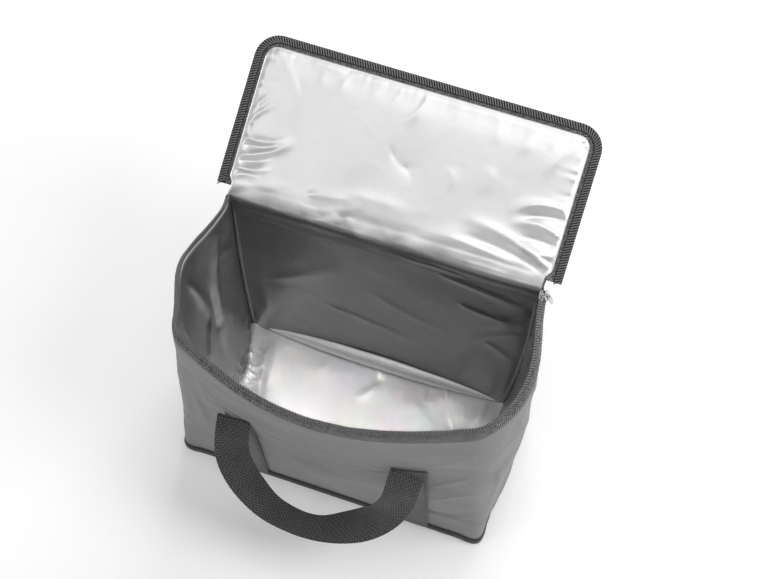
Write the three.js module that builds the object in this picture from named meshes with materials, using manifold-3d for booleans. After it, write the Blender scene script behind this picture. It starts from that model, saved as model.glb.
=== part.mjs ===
// Insulated cooler bag, standing open: a soft box of fabric, foam and foil, with a zipped lid
// thrown back on its rear fold, two webbing carrying handles and a zip slider.
// Millimetres, +Z up, front towards -Y, origin at the middle of the base on the ground.
//
// Every wall piece is first a flat plate in wall coordinates: u runs round the bag from the
// rear left corner, over the left side, the front and the right side, to the rear right
// corner; o is the distance outward from the fabric's outer face; z is the height.
// wrapWall() folds the plate round the bag's rounded plan, and slacken() then lets the open
// mouth bow forward and the sides swell, as the soft walls do once the zip is open.
import * as THREE from 'three';
import { mergeVertices } from 'three/addons/utils/BufferGeometryUtils.js';
import Module from 'manifold-3d';

// ---- driving dimensions ----
const BAG_WIDTH = 376;
const BAG_DEPTH = 190;
const CORNER_RADIUS = 18;
const WALL_TOP = 278;
const MOUTH_HEIGHT = 290;
const BASE_BAND_HEIGHT = 14;

const FABRIC = 0.8;
const FOAM = 4;
const FOIL = 0.8;
const GAP = 0.3;

const MOUTH_BOW = 52;
const CORNER_PULL_BACK = 7;
const SIDE_SWELL = 14;
const SIDE_FRONT_PINCH = 7;
const SIDE_SWELL_CENTRE = 2;
const SIDE_SWELL_SPAN = 230;
const RIM_SAG = 6;
const BACK_LEAN = 3;
const LINER_PULL = 22;

const TAPE_THICK = 0.8;
const TAPE_LAP = 2.4;
const TAPE_LEAN = THREE.MathUtils.degToRad(28);
const RIM_TAPE_RISE = 8;
const COIL_THICK = 2.4;
const COIL_HEIGHT = 4.4;

const WEBBING_WIDTH = 38;
const WEBBING_THICK = 1.8;
const HANDLE_TOP = 190;
const HANDLE_CENTRES = [-96, 106];

const HINGE_Y = 98;
const HINGE_Z = 290;
const FOLD_RADIUS = 3;
const LID_OPEN = THREE.MathUtils.degToRad(148.6);
const LID_HALF_WIDTH = 186;
const LID_DEPTH = 167;
const LID_RADIUS = 12;
const LID_START = 6;
const LID_LIFT = 6.5;
const LID_TAPE = 10;
const LID_COIL = 6;

const SLIDER_TRAVEL_FROM = 84;
const SLIDER_TRAVEL_TO = 34;
const SLIDER_LENGTH = 12;
const PULLER_TILT = THREE.MathUtils.degToRad(22);

// ---- colours and finishes ----
const finish = (color, roughness, metalness = 0) =>
  new THREE.MeshStandardMaterial({ color, roughness, metalness });
const greyFabric = finish(0x808284, 0.85);
const blackFabric = finish(0x2b2b2d, 0.9);
const webbing = finish(0x3a3b3d, 0.85);
const zipBlack = finish(0x303032, 0.7);
const silverFilm = finish(0xc9cacc, 0.35, 0.8);
const whiteFoam = finish(0xe4e4e2, 0.9);
const castMetal = finish(0xb8b9bb, 0.3, 1);

// ---- helpers ----
const bag = new THREE.Group();
const halfWidth = BAG_WIDTH / 2;
const halfDepth = BAG_DEPTH / 2;
const clamp01 = (t) => Math.min(1, Math.max(0, t));
const smooth = (t) => clamp01(t) ** 2 * (3 - 2 * clamp01(t));

function addPiece(parent, name, geometry, material) {
  const mesh = new THREE.Mesh(geometry, material);
  mesh.name = name;
  parent.add(mesh);
  return mesh;
}

// Moves every vertex of a geometry by a function of its position.
function mapVertices(geometry, place) {
  const position = geometry.attributes.position;
  const point = new THREE.Vector3();
  for (let i = 0; i < position.count; i += 1) {
    point.fromBufferAttribute(position, i);
    const [x, y, z] = place(point.x, point.y, point.z);
    position.setXYZ(i, x, y, z);
  }
  geometry.computeVertexNormals();
  return geometry;
}

// A box whose vertices lie on the given lists of stations along each of its three axes. The
// face on its low first side has its diagonals turned, so that they run as on the high side:
// plates that lie on each other then stay clear of each other once they are bent.
function stationBox(first, second, third) {
  const lists = [first, second, third];
  const cells = lists.map((list) => list.length - 1);
  const box = new THREE.BoxGeometry(1, 1, 1, ...cells);
  const lowSide = box.groups[1];
  for (let i = lowSide.start; i < lowSide.start + lowSide.count; i += 6) {
    const [a, b, d, , c] = box.index.array.slice(i, i + 6);
    box.index.array.set([a, b, c, a, c, d], i);
  }
  return mapVertices(box, (...point) =>
    lists.map((list, axis) => list[Math.round((point[axis] + 0.5) * cells[axis])]));
}

const evenly = (from, to, cells) =>
  Array.from({ length: cells + 1 }, (_, i) => from + ((to - from) * i) / cells);

// A U-shaped run with rounded front corners: its stations, and the point at (u, outward).
class RoundedRun {
  constructor(half, rear, front, radius, cells) {
    Object.assign(this, { half, rear, front, radius });
    this.side = rear - front - radius;
    this.arc = (radius * Math.PI) / 2;
    this.across = 2 * (half - radius);
    this.marks = [0, this.side, this.side + this.arc, this.side + this.arc + this.across];
    this.marks.push(this.marks[3] + this.arc, this.marks[3] + this.arc + this.side);
    this.cells = [cells.side, cells.arc, cells.across, cells.arc, cells.side];
  }

  stations(fromMark = 0, toMark = 5) {
    const list = [this.marks[fromMark]];
    for (let i = fromMark; i < toMark; i += 1) {
      list.push(...evenly(this.marks[i], this.marks[i + 1], this.cells[i]).slice(1));
    }
    return list;
  }

  uAtFrontX(x) {
    return this.marks[2] + x + this.half - this.radius;
  }

  point(u, outward) {
    const { half, rear, front, radius, marks, arc } = this;
    if (u <= marks[1]) return [-half - outward, rear - u];
    if (u >= marks[4]) return [half + outward, front + radius + (u - marks[4])];
    if (u >= marks[2] && u <= marks[3]) {
      return [u - marks[2] - half + radius, front - outward];
    }
    const left = u < marks[2];
    const turn = ((u - (left ? marks[1] : marks[3])) / arc) * (Math.PI / 2);
    const angle = (left ? Math.PI : Math.PI * 1.5) + turn;
    const centreX = left ? -half + radius : half - radius;
    const reach = radius + outward;
    return [centreX + reach * Math.cos(angle), front + radius + reach * Math.sin(angle)];
  }
}

const wallRun = new RoundedRun(
  halfWidth, halfDepth, -halfDepth, CORNER_RADIUS, { side: 6, arc: 4, across: 12 });

// The soft shape of the open bag: nothing moves in the base band, and the shift grows evenly
// to the mouth. The front bows forward as a half wave, the sides swell as a half wave.
function slacken(x, y, z) {
  const rise = Math.max(0, (z - BASE_BAND_HEIGHT) / (MOUTH_HEIGHT - BASE_BAND_HEIGHT));
  const frontShare = smooth((60 - y) / (60 + halfDepth));
  const rearShare = smooth((y - 60) / (halfDepth - 60));
  const wave = Math.cos((Math.PI * Math.min(Math.abs(x), halfWidth)) / BAG_WIDTH);
  const swellTurn = (Math.PI * (y - SIDE_SWELL_CENTRE)) / SIDE_SWELL_SPAN;
  const swell = SIDE_SWELL * Math.max(0, Math.cos(swellTurn));
  const pinch = SIDE_FRONT_PINCH * smooth((-50 - y) / (halfDepth - 50));
  const sideShare = (Math.abs(x) / halfWidth) ** 2 * Math.sign(x);
  return [
    x + rise * sideShare * (swell - pinch),
    y + rise * (frontShare * (CORNER_PULL_BACK - MOUTH_BOW * wave) + rearShare * BACK_LEAN),
    z - RIM_SAG * rise ** 3 * frontShare * wave,
  ];
}

// Folds a plate given as (o, u, z) round the bag and slackens it.
function wrapWall(geometry, outwardShift = () => 0) {
  return mapVertices(geometry, (o, u, z) => {
    const [x, y] = wallRun.point(u, o + outwardShift(u, z));
    return slacken(x, y, z);
  });
}

const slackBox = (xs, ys, zs) => mapVertices(stationBox(xs, ys, zs), slacken);

// A flat rounded rectangle, the plan of the base layers, inset all round.
function planShape(inset, rightInset = inset) {
  const left = -halfWidth + inset;
  const right = halfWidth - rightInset;
  const front = -halfDepth + inset;
  const rear = halfDepth - inset;
  const r = CORNER_RADIUS - inset;
  const shape = new THREE.Shape();
  shape.moveTo(right, rear);
  shape.lineTo(left, rear);
  shape.lineTo(left, front + r);
  shape.absarc(left + r, front + r, r, Math.PI, Math.PI * 1.5, false);
  shape.lineTo(right - r, front);
  shape.absarc(right - r, front + r, r, Math.PI * 1.5, Math.PI * 2, false);
  shape.closePath();
  return shape;
}

function prism(shape, bottom, height, curveSegments = 2) {
  const geometry = new THREE.ExtrudeGeometry(
    shape, { depth: height, bevelEnabled: false, curveSegments });
  return geometry.translate(0, 0, bottom);
}

// ---- wall build-up, as distances outward from the fabric's outer face ----
const fabricLayer = [-FABRIC, 0];
const foamLayer = [-FABRIC - GAP - FOAM, -FABRIC - GAP];
const foilLayer = [foamLayer[0] - GAP - FOIL, foamLayer[0] - GAP];
const wallThickness = -foilLayer[0];
const wallRows = evenly(BASE_BAND_HEIGHT, WALL_TOP, 4);

// ---- base ----
const basePanelTop = 1;
const baseFoamBottom = basePanelTop + GAP;
const baseFoamTop = baseFoamBottom + FOAM;
const floorFoilBottom = baseFoamTop + GAP;
const floorFoilTop = floorFoilBottom + FOIL;

addPiece(bag, 'base_panel', prism(planShape(0), 0, basePanelTop), blackFabric);

const bandShape = planShape(-1.1);
bandShape.holes.push(planShape(-GAP));
addPiece(bag, 'base_band', prism(bandShape, GAP, BASE_BAND_HEIGHT - GAP - 0.4), blackFabric);

addPiece(bag, 'foam_base', prism(planShape(1.1), baseFoamBottom, FOAM), whiteFoam);
addPiece(bag, 'foil_floor',
  prism(planShape(wallThickness + GAP, wallThickness + GAP + LINER_PULL), floorFoilBottom, FOIL),
  silverFilm);

// ---- outer fabric ----
addPiece(bag, 'outer_wrap_panel',
  wrapWall(stationBox(fabricLayer, wallRun.stations().map((u) => u + (u === 0 ? 6 : 0)
    - (u === wallRun.marks[5] ? 6 : 0)), [baseFoamBottom, ...wallRows])),
  greyFabric);

const backRows = [baseFoamBottom, ...wallRows, MOUTH_HEIGHT - FOLD_RADIUS - 0.6];
addPiece(bag, 'outer_back_panel',
  slackBox([-halfWidth + 6, halfWidth - 6], [halfDepth - FABRIC, halfDepth], backRows),
  greyFabric);

for (const [side, sign] of [['left', -1], ['right', 1]]) {
  const inner = halfWidth - 5.6;
  const xs = sign < 0 ? [-halfWidth - 1, -inner] : [inner, halfWidth + 1];
  addPiece(bag, `rear_seam_binding_${side}`,
    slackBox(xs, [halfDepth - 5.6, halfDepth + 1], [BASE_BAND_HEIGHT + GAP, WALL_TOP]),
    blackFabric);
}

// ---- foam ----
const foamFoot = baseFoamTop + GAP;
const foamRows = [foamFoot, ...wallRows];
const frontFoam = wallRun.stations(2, 3);
frontFoam[0] += GAP;
frontFoam[frontFoam.length - 1] -= GAP;
addPiece(bag, 'foam_front', wrapWall(stationBox(foamLayer, frontFoam, foamRows)), whiteFoam);

const leftFoam = wallRun.stations(0, 2);
leftFoam[0] += 7;
addPiece(bag, 'foam_left', wrapWall(stationBox(foamLayer, leftFoam, foamRows)), whiteFoam);

const rightFoam = wallRun.stations(3, 5);
rightFoam[rightFoam.length - 1] -= 7;
addPiece(bag, 'foam_right', wrapWall(stationBox(foamLayer, rightFoam, foamRows)), whiteFoam);

const backFoamHalf = halfWidth - 6;
addPiece(bag, 'foam_back',
  slackBox([-backFoamHalf, backFoamHalf], foamLayer.map((o) => halfDepth + o),
    [foamFoot, ...backRows.slice(1)]),
  whiteFoam);

// ---- foil lining: the right wall's foil hangs loose and drifts inward towards the floor ----
const linerDrift = (z) => LINER_PULL * (1 - clamp01((z - floorFoilTop) / WALL_TOP)) ** 2;
const linerShift = (u, z) => -linerDrift(z) * smooth((u - wallRun.marks[3]) / wallRun.arc);
const foilFoot = floorFoilTop + GAP;
const foilRows = [foilFoot, ...wallRows];
const foilRun = wallRun.stations();
foilRun[0] += wallThickness + GAP;
foilRun[foilRun.length - 1] -= wallThickness + GAP;
addPiece(bag, 'foil_front_and_sides',
  wrapWall(stationBox(foilLayer, foilRun, foilRows), linerShift),
  silverFilm);

const backFoilHalf = halfWidth - 9;
const foilBackRows = [...foilRows, backRows.at(-1)];
addPiece(bag, 'foil_back',
  mapVertices(stationBox([-backFoilHalf, backFoilHalf], foilLayer.map((o) => halfDepth + o),
    foilBackRows), (x, y, z) => slacken(x > 0 ? x - linerDrift(z) : x, y, z)),
  silverFilm);

// ---- zip half round the mouth: it laps the fabric, then leans inward over the wall ----
const tapeKnee = WALL_TOP + 0.6;
const tapeTop = tapeKnee + RIM_TAPE_RISE;
const leanIn = (z) => -Math.max(0, z - tapeKnee) * Math.tan(TAPE_LEAN);
const zipRun = wallRun.stations();
zipRun[0] += 8;
zipRun[zipRun.length - 1] -= 8;
addPiece(bag, 'rim_zip_tape',
  wrapWall(stationBox([GAP, GAP + TAPE_THICK], zipRun, [tapeKnee - TAPE_LAP, tapeKnee, tapeTop]),
    (u, z) => leanIn(z)),
  zipBlack);

const coilFoot = tapeTop + GAP;
const coilMiddle = GAP + TAPE_THICK / 2;
addPiece(bag, 'rim_zip_coil',
  wrapWall(stationBox([coilMiddle - COIL_THICK / 2, coilMiddle + COIL_THICK / 2], zipRun,
    [coilFoot, coilFoot + COIL_HEIGHT]), (u, z) => leanIn(z)),
  zipBlack);

// ---- handle webbing sewn up the front and the back ----
const stripLayer = [0.8, 0.8 + WEBBING_THICK];
const stripRows = [BASE_BAND_HEIGHT + GAP, wallRows[1], wallRows[2], HANDLE_TOP];
const stripNames = ['left', 'right'];
HANDLE_CENTRES.forEach((centre, i) => {
  const middle = wallRun.uAtFrontX(centre);
  const [from, to] = [middle - WEBBING_WIDTH / 2, middle + WEBBING_WIDTH / 2];
  const us = [from, ...wallRun.stations().filter((u) => u > from + 1 && u < to - 1), to];
  addPiece(bag, `front_webbing_${stripNames[i]}`,
    wrapWall(stationBox(stripLayer, us, stripRows)), webbing);
  const xs = [-centre - WEBBING_WIDTH / 2, -centre + WEBBING_WIDTH / 2];
  addPiece(bag, `rear_webbing_${stripNames[1 - i]}`,
    slackBox(xs, stripLayer.map((o) => halfDepth + o), stripRows), webbing);
});

// ---- handle loops: a webbing ribbon that folds over at both ends and droops outward ----
// Each entry is a point on the ribbon's middle line and the direction towards its outer edge.
const LOOP_ROUTE = [
  [[-96, -121, 190], [-1, 0, 0]],
  [[-92, -145, 154], [-0.82, -0.55, 0]],
  [[-67, -161, 115], [-0.4, -0.91, 0.05]],
  [[-31, -170, 87], [0, -0.95, 0.3]],
  [[14, -169, 78], [0.18, -0.92, 0.32]],
  [[54, -159, 91], [0.5, -0.84, -0.1]],
  [[84, -150, 119], [0.84, -0.36, -0.38]],
  [[102, -140, 154], [0.95, 0.05, -0.3]],
  [[106, -121, 190], [1, 0, 0]],
];
const LOOP_CELLS = 40;
const LOOP_CELLS_ACROSS = 4;

function handleLoop() {
  const toVector = (p) => new THREE.Vector3(...p);
  const middle = new THREE.CatmullRomCurve3(LOOP_ROUTE.map(([p]) => toVector(p)));
  const edges = new THREE.CatmullRomCurve3(LOOP_ROUTE.map(([, e]) => toVector(e)));
  const half = WEBBING_WIDTH / 2;
  const across = evenly(-half, half, LOOP_CELLS_ACROSS);
  const ribbon = stationBox(across, evenly(0, 1, LOOP_CELLS), [-0.5, 0.5]);
  return mapVertices(ribbon, (side, t, through) => {
    const along = middle.getTangent(t);
    const edge = edges.getPoint(t);
    edge.addScaledVector(along, -edge.dot(along)).normalize();
    const face = new THREE.Vector3().crossVectors(edge, along);
    return middle.getPoint(t)
      .addScaledVector(edge, side)
      .addScaledVector(face, through * WEBBING_THICK)
      .toArray();
  });
}

addPiece(bag, 'front_handle_loop', handleLoop(), webbing);
const rearHandle = new THREE.Group();
rearHandle.rotation.z = Math.PI;
rearHandle.position.y = -19;
addPiece(rearHandle, 'rear_handle_loop', handleLoop(), webbing);
bag.add(rearHandle);

// ---- rear fold that the lid turns on ----
const fold = new THREE.CylinderGeometry(FOLD_RADIUS, FOLD_RADIUS, 2 * LID_HALF_WIDTH - 4, 12);
fold.rotateZ(Math.PI / 2);
addPiece(bag, 'lid_fold', fold, greyFabric).position.set(0, HINGE_Y, HINGE_Z);

// ---- lid, drawn closed in its own group: the hinge axis is the group's X axis ----
const lid = new THREE.Group();
lid.position.set(0, HINGE_Y, HINGE_Z);
lid.rotation.x = -LID_OPEN;
bag.add(lid);

const lidRun = new RoundedRun(
  LID_HALF_WIDTH, -LID_START, -LID_DEPTH, LID_RADIUS, { side: 4, arc: 6, across: 6 });

function lidPanel(inset, bottom, height) {
  const side = LID_HALF_WIDTH - inset;
  const front = -LID_DEPTH + inset;
  const r = LID_RADIUS - inset;
  const shape = new THREE.Shape();
  shape.moveTo(side, -LID_START);
  shape.lineTo(-side, -LID_START);
  shape.lineTo(-side, front + r);
  shape.absarc(-side + r, front + r, r, Math.PI, Math.PI * 1.5, false);
  shape.lineTo(side - r, front);
  shape.absarc(side - r, front + r, r, Math.PI * 1.5, Math.PI * 2, false);
  shape.closePath();
  return prism(shape, bottom, height, 3);
}

function lidEdge(outward, heights) {
  const edge = stationBox(outward, lidRun.stations(), heights);
  return mapVertices(edge, (o, u, z) => [...lidRun.point(u, o), z]);
}

const lidFoamBottom = LID_LIFT + FOIL + GAP;
const lidFabricBottom = lidFoamBottom + FOAM + GAP;
const tapeBottom = LID_LIFT + 2.2;
const tapeMiddle = tapeBottom + TAPE_THICK / 2;
addPiece(lid, 'lid_foil', lidPanel(0, LID_LIFT, FOIL), silverFilm);
addPiece(lid, 'lid_foam', lidPanel(1, lidFoamBottom, FOAM), whiteFoam);
addPiece(lid, 'lid_outer_panel', lidPanel(0, lidFabricBottom, FABRIC), greyFabric);
addPiece(lid, 'lid_zip_tape',
  lidEdge([GAP, LID_TAPE], [tapeBottom, tapeBottom + TAPE_THICK]), zipBlack);
addPiece(lid, 'lid_zip_coil',
  lidEdge([LID_TAPE + GAP, LID_TAPE + LID_COIL],
    [tapeMiddle - COIL_THICK / 2, tapeMiddle + COIL_THICK / 2]),
  zipBlack);

// ---- zip slider on the right side's rear end, and its puller ----
const wasm = await Module();
wasm.setup();

function toSolid(geometry) {
  const bare = geometry.clone();
  bare.deleteAttribute('normal');
  bare.deleteAttribute('uv');
  const merged = mergeVertices(bare, 1e-4);
  return new wasm.Manifold(new wasm.Mesh({
    numProp: 3,
    vertProperties: merged.attributes.position.array,
    triVerts: new Uint32Array(merged.index.array),
  }));
}

function fromSolid(solid) {
  const mesh = solid.getMesh();
  const geometry = new THREE.BufferGeometry();
  geometry.setAttribute('position', new THREE.BufferAttribute(mesh.vertProperties, 3));
  geometry.setIndex(new THREE.BufferAttribute(mesh.triVerts, 1));
  geometry.computeVertexNormals();
  return geometry;
}

// A closed outline in the slider's own (across, up) plane, drawn out along its length.
function alongSlider(points, length) {
  const shape = new THREE.Shape(points.map(([across, up]) => new THREE.Vector2(across, -up)));
  const geometry = new THREE.ExtrudeGeometry(shape, { depth: length, bevelEnabled: false });
  return geometry.translate(0, 0, -length / 2).rotateX(-Math.PI / 2);
}

const PLATE = { inner: 2.5, outer: 4, foot: -3, webFoot: 3.2, top: 4.8 };
const CROWN = { reach: 8, bar: 1.2, half: 2.9, length: 2 };
const PULLER = { width: 7, thick: 1.2, above: 1, below: 16, windowHalf: 1.7, windowFoot: -5.4 };
const pivotAcross = 5.4;
const pivotUp = 0.3;

const channel = alongSlider([
  [PLATE.inner, PLATE.foot], [PLATE.outer, PLATE.foot], [PLATE.outer, PLATE.top],
  [-PLATE.outer, PLATE.top], [-PLATE.outer, PLATE.foot], [-PLATE.inner, PLATE.foot],
  [-PLATE.inner, PLATE.webFoot], [PLATE.inner, PLATE.webFoot],
], SLIDER_LENGTH);
const crown = alongSlider([
  [PLATE.outer - 0.5, -CROWN.half], [CROWN.reach, -CROWN.half], [CROWN.reach, CROWN.half],
  [PLATE.outer - 0.5, CROWN.half], [PLATE.outer - 0.5, CROWN.half - CROWN.bar],
  [CROWN.reach - CROWN.bar, CROWN.half - CROWN.bar],
  [CROWN.reach - CROWN.bar, -CROWN.half + CROWN.bar],
  [PLATE.outer - 0.5, -CROWN.half + CROWN.bar],
], CROWN.length);

// The slider's straight travel is the chord between two points of the coil's line.
const coilCentreZ = coilFoot + COIL_HEIGHT / 2;
const coilPoint = (y) =>
  new THREE.Vector3(...slacken(halfWidth + coilMiddle + leanIn(coilCentreZ), y, coilCentreZ));
const travelStart = coilPoint(SLIDER_TRAVEL_FROM);
const travelEnd = coilPoint(SLIDER_TRAVEL_TO);
const sliderFrame = new THREE.Group();
sliderFrame.position.copy(travelStart);
sliderFrame.rotation.z = Math.atan2(travelEnd.x - travelStart.x, travelStart.y - travelEnd.y);
bag.add(sliderFrame);
addPiece(sliderFrame, 'zip_slider', fromSolid(toSolid(channel).add(toSolid(crown))), castMetal)
  .rotation.y = -TAPE_LEAN;

const pullerShape = new THREE.Shape();
pullerShape.moveTo(-PULLER.width / 2, PULLER.above);
pullerShape.lineTo(-PULLER.width / 2, -PULLER.below + PULLER.width / 2);
pullerShape.absarc(0, -PULLER.below + PULLER.width / 2, PULLER.width / 2, Math.PI, 0, false);
pullerShape.lineTo(PULLER.width / 2, PULLER.above);
pullerShape.closePath();
const pullerWindow = new THREE.Path();
pullerWindow.moveTo(-PULLER.windowHalf, -0.6);
pullerWindow.lineTo(-PULLER.windowHalf, PULLER.windowFoot);
pullerWindow.lineTo(PULLER.windowHalf, PULLER.windowFoot);
pullerWindow.lineTo(PULLER.windowHalf, -0.6);
pullerWindow.closePath();
pullerShape.holes.push(pullerWindow);
const pullerPlate = new THREE.ExtrudeGeometry(
  pullerShape, { depth: PULLER.thick, bevelEnabled: false, curveSegments: 8 });
pullerPlate.translate(0, 0, -PULLER.thick / 2).rotateX(Math.PI / 2).rotateZ(Math.PI / 2);
const puller = addPiece(sliderFrame, 'zip_puller', pullerPlate, castMetal);
const lean = new THREE.Vector3(pivotAcross, 0, pivotUp).applyAxisAngle(
  new THREE.Vector3(0, 1, 0), -TAPE_LEAN);
puller.position.copy(lean);
puller.rotation.y = -PULLER_TILT;

export default bag;
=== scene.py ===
"""Insulated cooler bag, standing open: fabric, foam and foil walls, a zipped lid thrown back on
its rear fold, two webbing carrying handles and a metal zip slider.

Shapes are worked out in millimetres and written in metres. +Z is up, the front faces -Y, and
the origin is the middle of the base on the ground. A wall point is given by u, the run round
the bag from the rear left corner over the left side, the front and the right side, by z, its
height, and by its distance outward from the fabric's face.
"""
import logging
import math
from dataclasses import dataclass, field
from enum import Enum
from typing import Callable, Optional, Sequence, Union

import bpy
import numpy as np
from mathutils import Matrix


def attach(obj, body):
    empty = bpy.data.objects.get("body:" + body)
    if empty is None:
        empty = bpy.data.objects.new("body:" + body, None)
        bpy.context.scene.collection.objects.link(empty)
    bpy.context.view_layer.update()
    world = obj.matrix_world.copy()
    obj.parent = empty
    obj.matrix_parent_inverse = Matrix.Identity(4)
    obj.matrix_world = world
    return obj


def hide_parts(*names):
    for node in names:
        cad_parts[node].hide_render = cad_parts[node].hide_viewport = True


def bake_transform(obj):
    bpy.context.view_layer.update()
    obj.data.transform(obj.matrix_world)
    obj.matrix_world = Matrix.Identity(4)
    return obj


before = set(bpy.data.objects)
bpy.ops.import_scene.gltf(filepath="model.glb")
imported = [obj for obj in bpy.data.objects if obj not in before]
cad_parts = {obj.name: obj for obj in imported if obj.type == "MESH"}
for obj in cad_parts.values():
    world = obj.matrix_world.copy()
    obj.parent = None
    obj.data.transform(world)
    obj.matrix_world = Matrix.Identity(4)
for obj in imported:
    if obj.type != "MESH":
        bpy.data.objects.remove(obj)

MM = 0.001
WIRE_SIDES = 6
TURN_SAMPLES = 12
LOG = logging.getLogger("cooler_bag")
Array = np.ndarray
Pair = tuple[float, float]
Triple = tuple[float, float, float]


# ---------------------------------------------------------------- curves and noise
def smooth(t: Union[float, Array]) -> Array:
    """Return the smooth step of t, which is 3t^2 - 2t^3 between 0 and 1 and flat outside."""
    t = np.clip(t, 0.0, 1.0)
    return t * t * (3.0 - 2.0 * t)


def through(x: Array, marks: Sequence[float], heights: Sequence[float]) -> Array:
    """Run a soft curve through marks, a cubic whose slope at a mark is that of its neighbours.

    Args:
        x: Where the curve is wanted.
        marks: Rising places of the known heights.
        heights: The heights at the marks.

    Returns:
        The curve's height at every x, held level beyond the first and the last mark.
    """
    xs, ys = np.asarray(marks, float), np.asarray(heights, float)
    slopes = np.gradient(ys, xs)
    x = np.clip(x, xs[0], xs[-1])
    i = np.clip(np.searchsorted(xs, x, side="right") - 1, 0, len(xs) - 2)
    gap = xs[i + 1] - xs[i]
    t = (x - xs[i]) / gap
    start = (1 + 2 * t) * (1 - t) ** 2 * ys[i] + t * (1 - t) ** 2 * gap * slopes[i]
    end = t * t * (3 - 2 * t) * ys[i + 1] + t * t * (t - 1) * gap * slopes[i + 1]
    return start + end


def path_through(points: Sequence[Triple], count: int) -> Array:
    """Return count points, evenly spaced, on a soft path through the given ones.

    Args:
        points: The points that the path goes through.
        count: How many points are wanted.

    Returns:
        The points of the path, shape (count, dimensions).
    """
    known = np.asarray(points, float)
    length = np.concatenate([[0], np.cumsum(np.linalg.norm(np.diff(known, axis=0), axis=1))])
    fine = np.linspace(0, length[-1], count * 6)
    dense = np.stack([through(fine, length, known[:, k]) for k in range(known.shape[1])], -1)
    run = np.concatenate([[0], np.cumsum(np.linalg.norm(np.diff(dense, axis=0), axis=1))])
    even = np.linspace(0, run[-1], count)
    return at_run(even, run, dense)


def wander(x: Array, pitch: float, seed: int) -> Array:
    """Make soft noise along a line: seeded values from -1 to 1 a pitch apart, smoothly joined.

    Args:
        x: Where the noise is wanted.
        pitch: Distance between the seeded values.
        seed: Number that the values are drawn from.

    Returns:
        The noise at every x.
    """
    values = np.random.default_rng(seed).uniform(-1, 1, 1024)
    t = np.asarray(x, float) / pitch + 300.0
    i = np.floor(t).astype(int)
    share = smooth(t - i)
    return values[i % 1024] * (1 - share) + values[(i + 1) % 1024] * share


def ripple(a: Array, b: Array, pitch: float, seed: int) -> Array:
    """Make soft noise on a surface: seeded values on a square net, smoothly joined.

    Args:
        a: First surface coordinate.
        b: Second surface coordinate.
        pitch: Distance between the seeded values.
        seed: Number that the values are drawn from.

    Returns:
        The noise at every (a, b), from -1 to 1.
    """
    net = np.random.default_rng(seed).uniform(-1, 1, (128, 128))
    s, t = np.asarray(a, float) / pitch + 300.0, np.asarray(b, float) / pitch + 300.0
    i, j = np.floor(s).astype(int), np.floor(t).astype(int)
    p, q = smooth(s - i), smooth(t - j)
    low = net[i % 128, j % 128] * (1 - p) + net[(i + 1) % 128, j % 128] * p
    high = net[i % 128, (j + 1) % 128] * (1 - p) + net[(i + 1) % 128, (j + 1) % 128] * p
    return low * (1 - q) + high * q


def crumple(a: Array, b: Array, pitch: float, seed: int) -> Array:
    """Make the facets of creased film: sharp ridges where soft noise passes through zero.

    Args:
        a: First surface coordinate.
        b: Second surface coordinate.
        pitch: Distance between the main ridges.
        seed: Number that the noise is drawn from.

    Returns:
        The height at every (a, b), highest on the ridges.
    """
    shift = 0.45 * pitch
    s = a + shift * ripple(a, b, pitch * 0.9, seed + 1)
    t = b + shift * ripple(a, b, pitch * 0.9, seed + 2)
    coarse = 1 - np.abs(ripple(s, t, pitch, seed)) * 2.2
    fine = 1 - np.abs(ripple(s, t, pitch * 0.45, seed + 3)) * 2.2
    return 0.7 * coarse + 0.3 * fine - 0.3


@dataclass(frozen=True)
class Fold:
    """One fold pressed into a sheet, from start to end, bowed sideways.

    Attributes:
        start: Where the fold begins, on the sheet, in millimetres.
        end: Where it ends.
        height: How far its crest stands up, or below zero how deep it sinks.
        width: Half width of the crest.
        bow: How far the middle of the fold lies to the left of the straight line.
        lead: Share of the length over which the fold rises from its start.
    """

    start: Pair
    end: Pair
    height: float
    width: float
    bow: float = 0.0
    lead: float = 0.3

    def lift(self, a: Array, b: Array) -> Array:
        """Work out the fold's height: a crest that falls as 1 / (1 + d^2)^1.5 with distance d.

        Args:
            a: First surface coordinate.
            b: Second surface coordinate.

        Returns:
            The height at every (a, b), in millimetres.
        """
        along = np.array(self.end) - np.array(self.start)
        length = float(np.hypot(*along))
        ahead = along / length
        da, db = a - self.start[0], b - self.start[1]
        t = (da * ahead[0] + db * ahead[1]) / length
        clipped = np.clip(t, 0, 1)
        side = -da * ahead[1] + db * ahead[0] - self.bow * 4 * clipped * (1 - clipped)
        beyond = (t - clipped) * length
        spread = self.width * (0.6 + 0.8 * clipped)
        d2 = (side**2 + beyond**2) / spread**2
        fade = smooth((t + 0.02) / max(self.lead, 0.02)) * smooth((1.05 - t) / 0.5)
        return self.height * fade * (1 + d2) ** -1.5


def lifted(folds: Sequence[Fold], a: Array, b: Array) -> Array:
    """Add up the heights of several folds.

    Args:
        folds: The folds.
        a: First surface coordinate.
        b: Second surface coordinate.

    Returns:
        Their summed height at every (a, b).
    """
    total = np.zeros(np.broadcast(a, b).shape)
    for fold in folds:
        total = total + fold.lift(a, b)
    return total


def eased(wave: Array, power: float) -> Array:
    """Return a wave with its size raised to a power and its sign kept, which squares an oval."""
    return np.sign(wave) * np.abs(wave) ** power


def circle(count: int) -> Array:
    """Return evenly spaced angles once round a circle."""
    return np.linspace(0, 2 * math.pi, count, endpoint=False)


def at_run(wanted: Array, run: Array, values: Array) -> Array:
    """Return rows of values, known at each run, at the wanted runs."""
    return np.stack([np.interp(wanted, run, values[:, k]) for k in range(values.shape[1])], -1)


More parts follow.
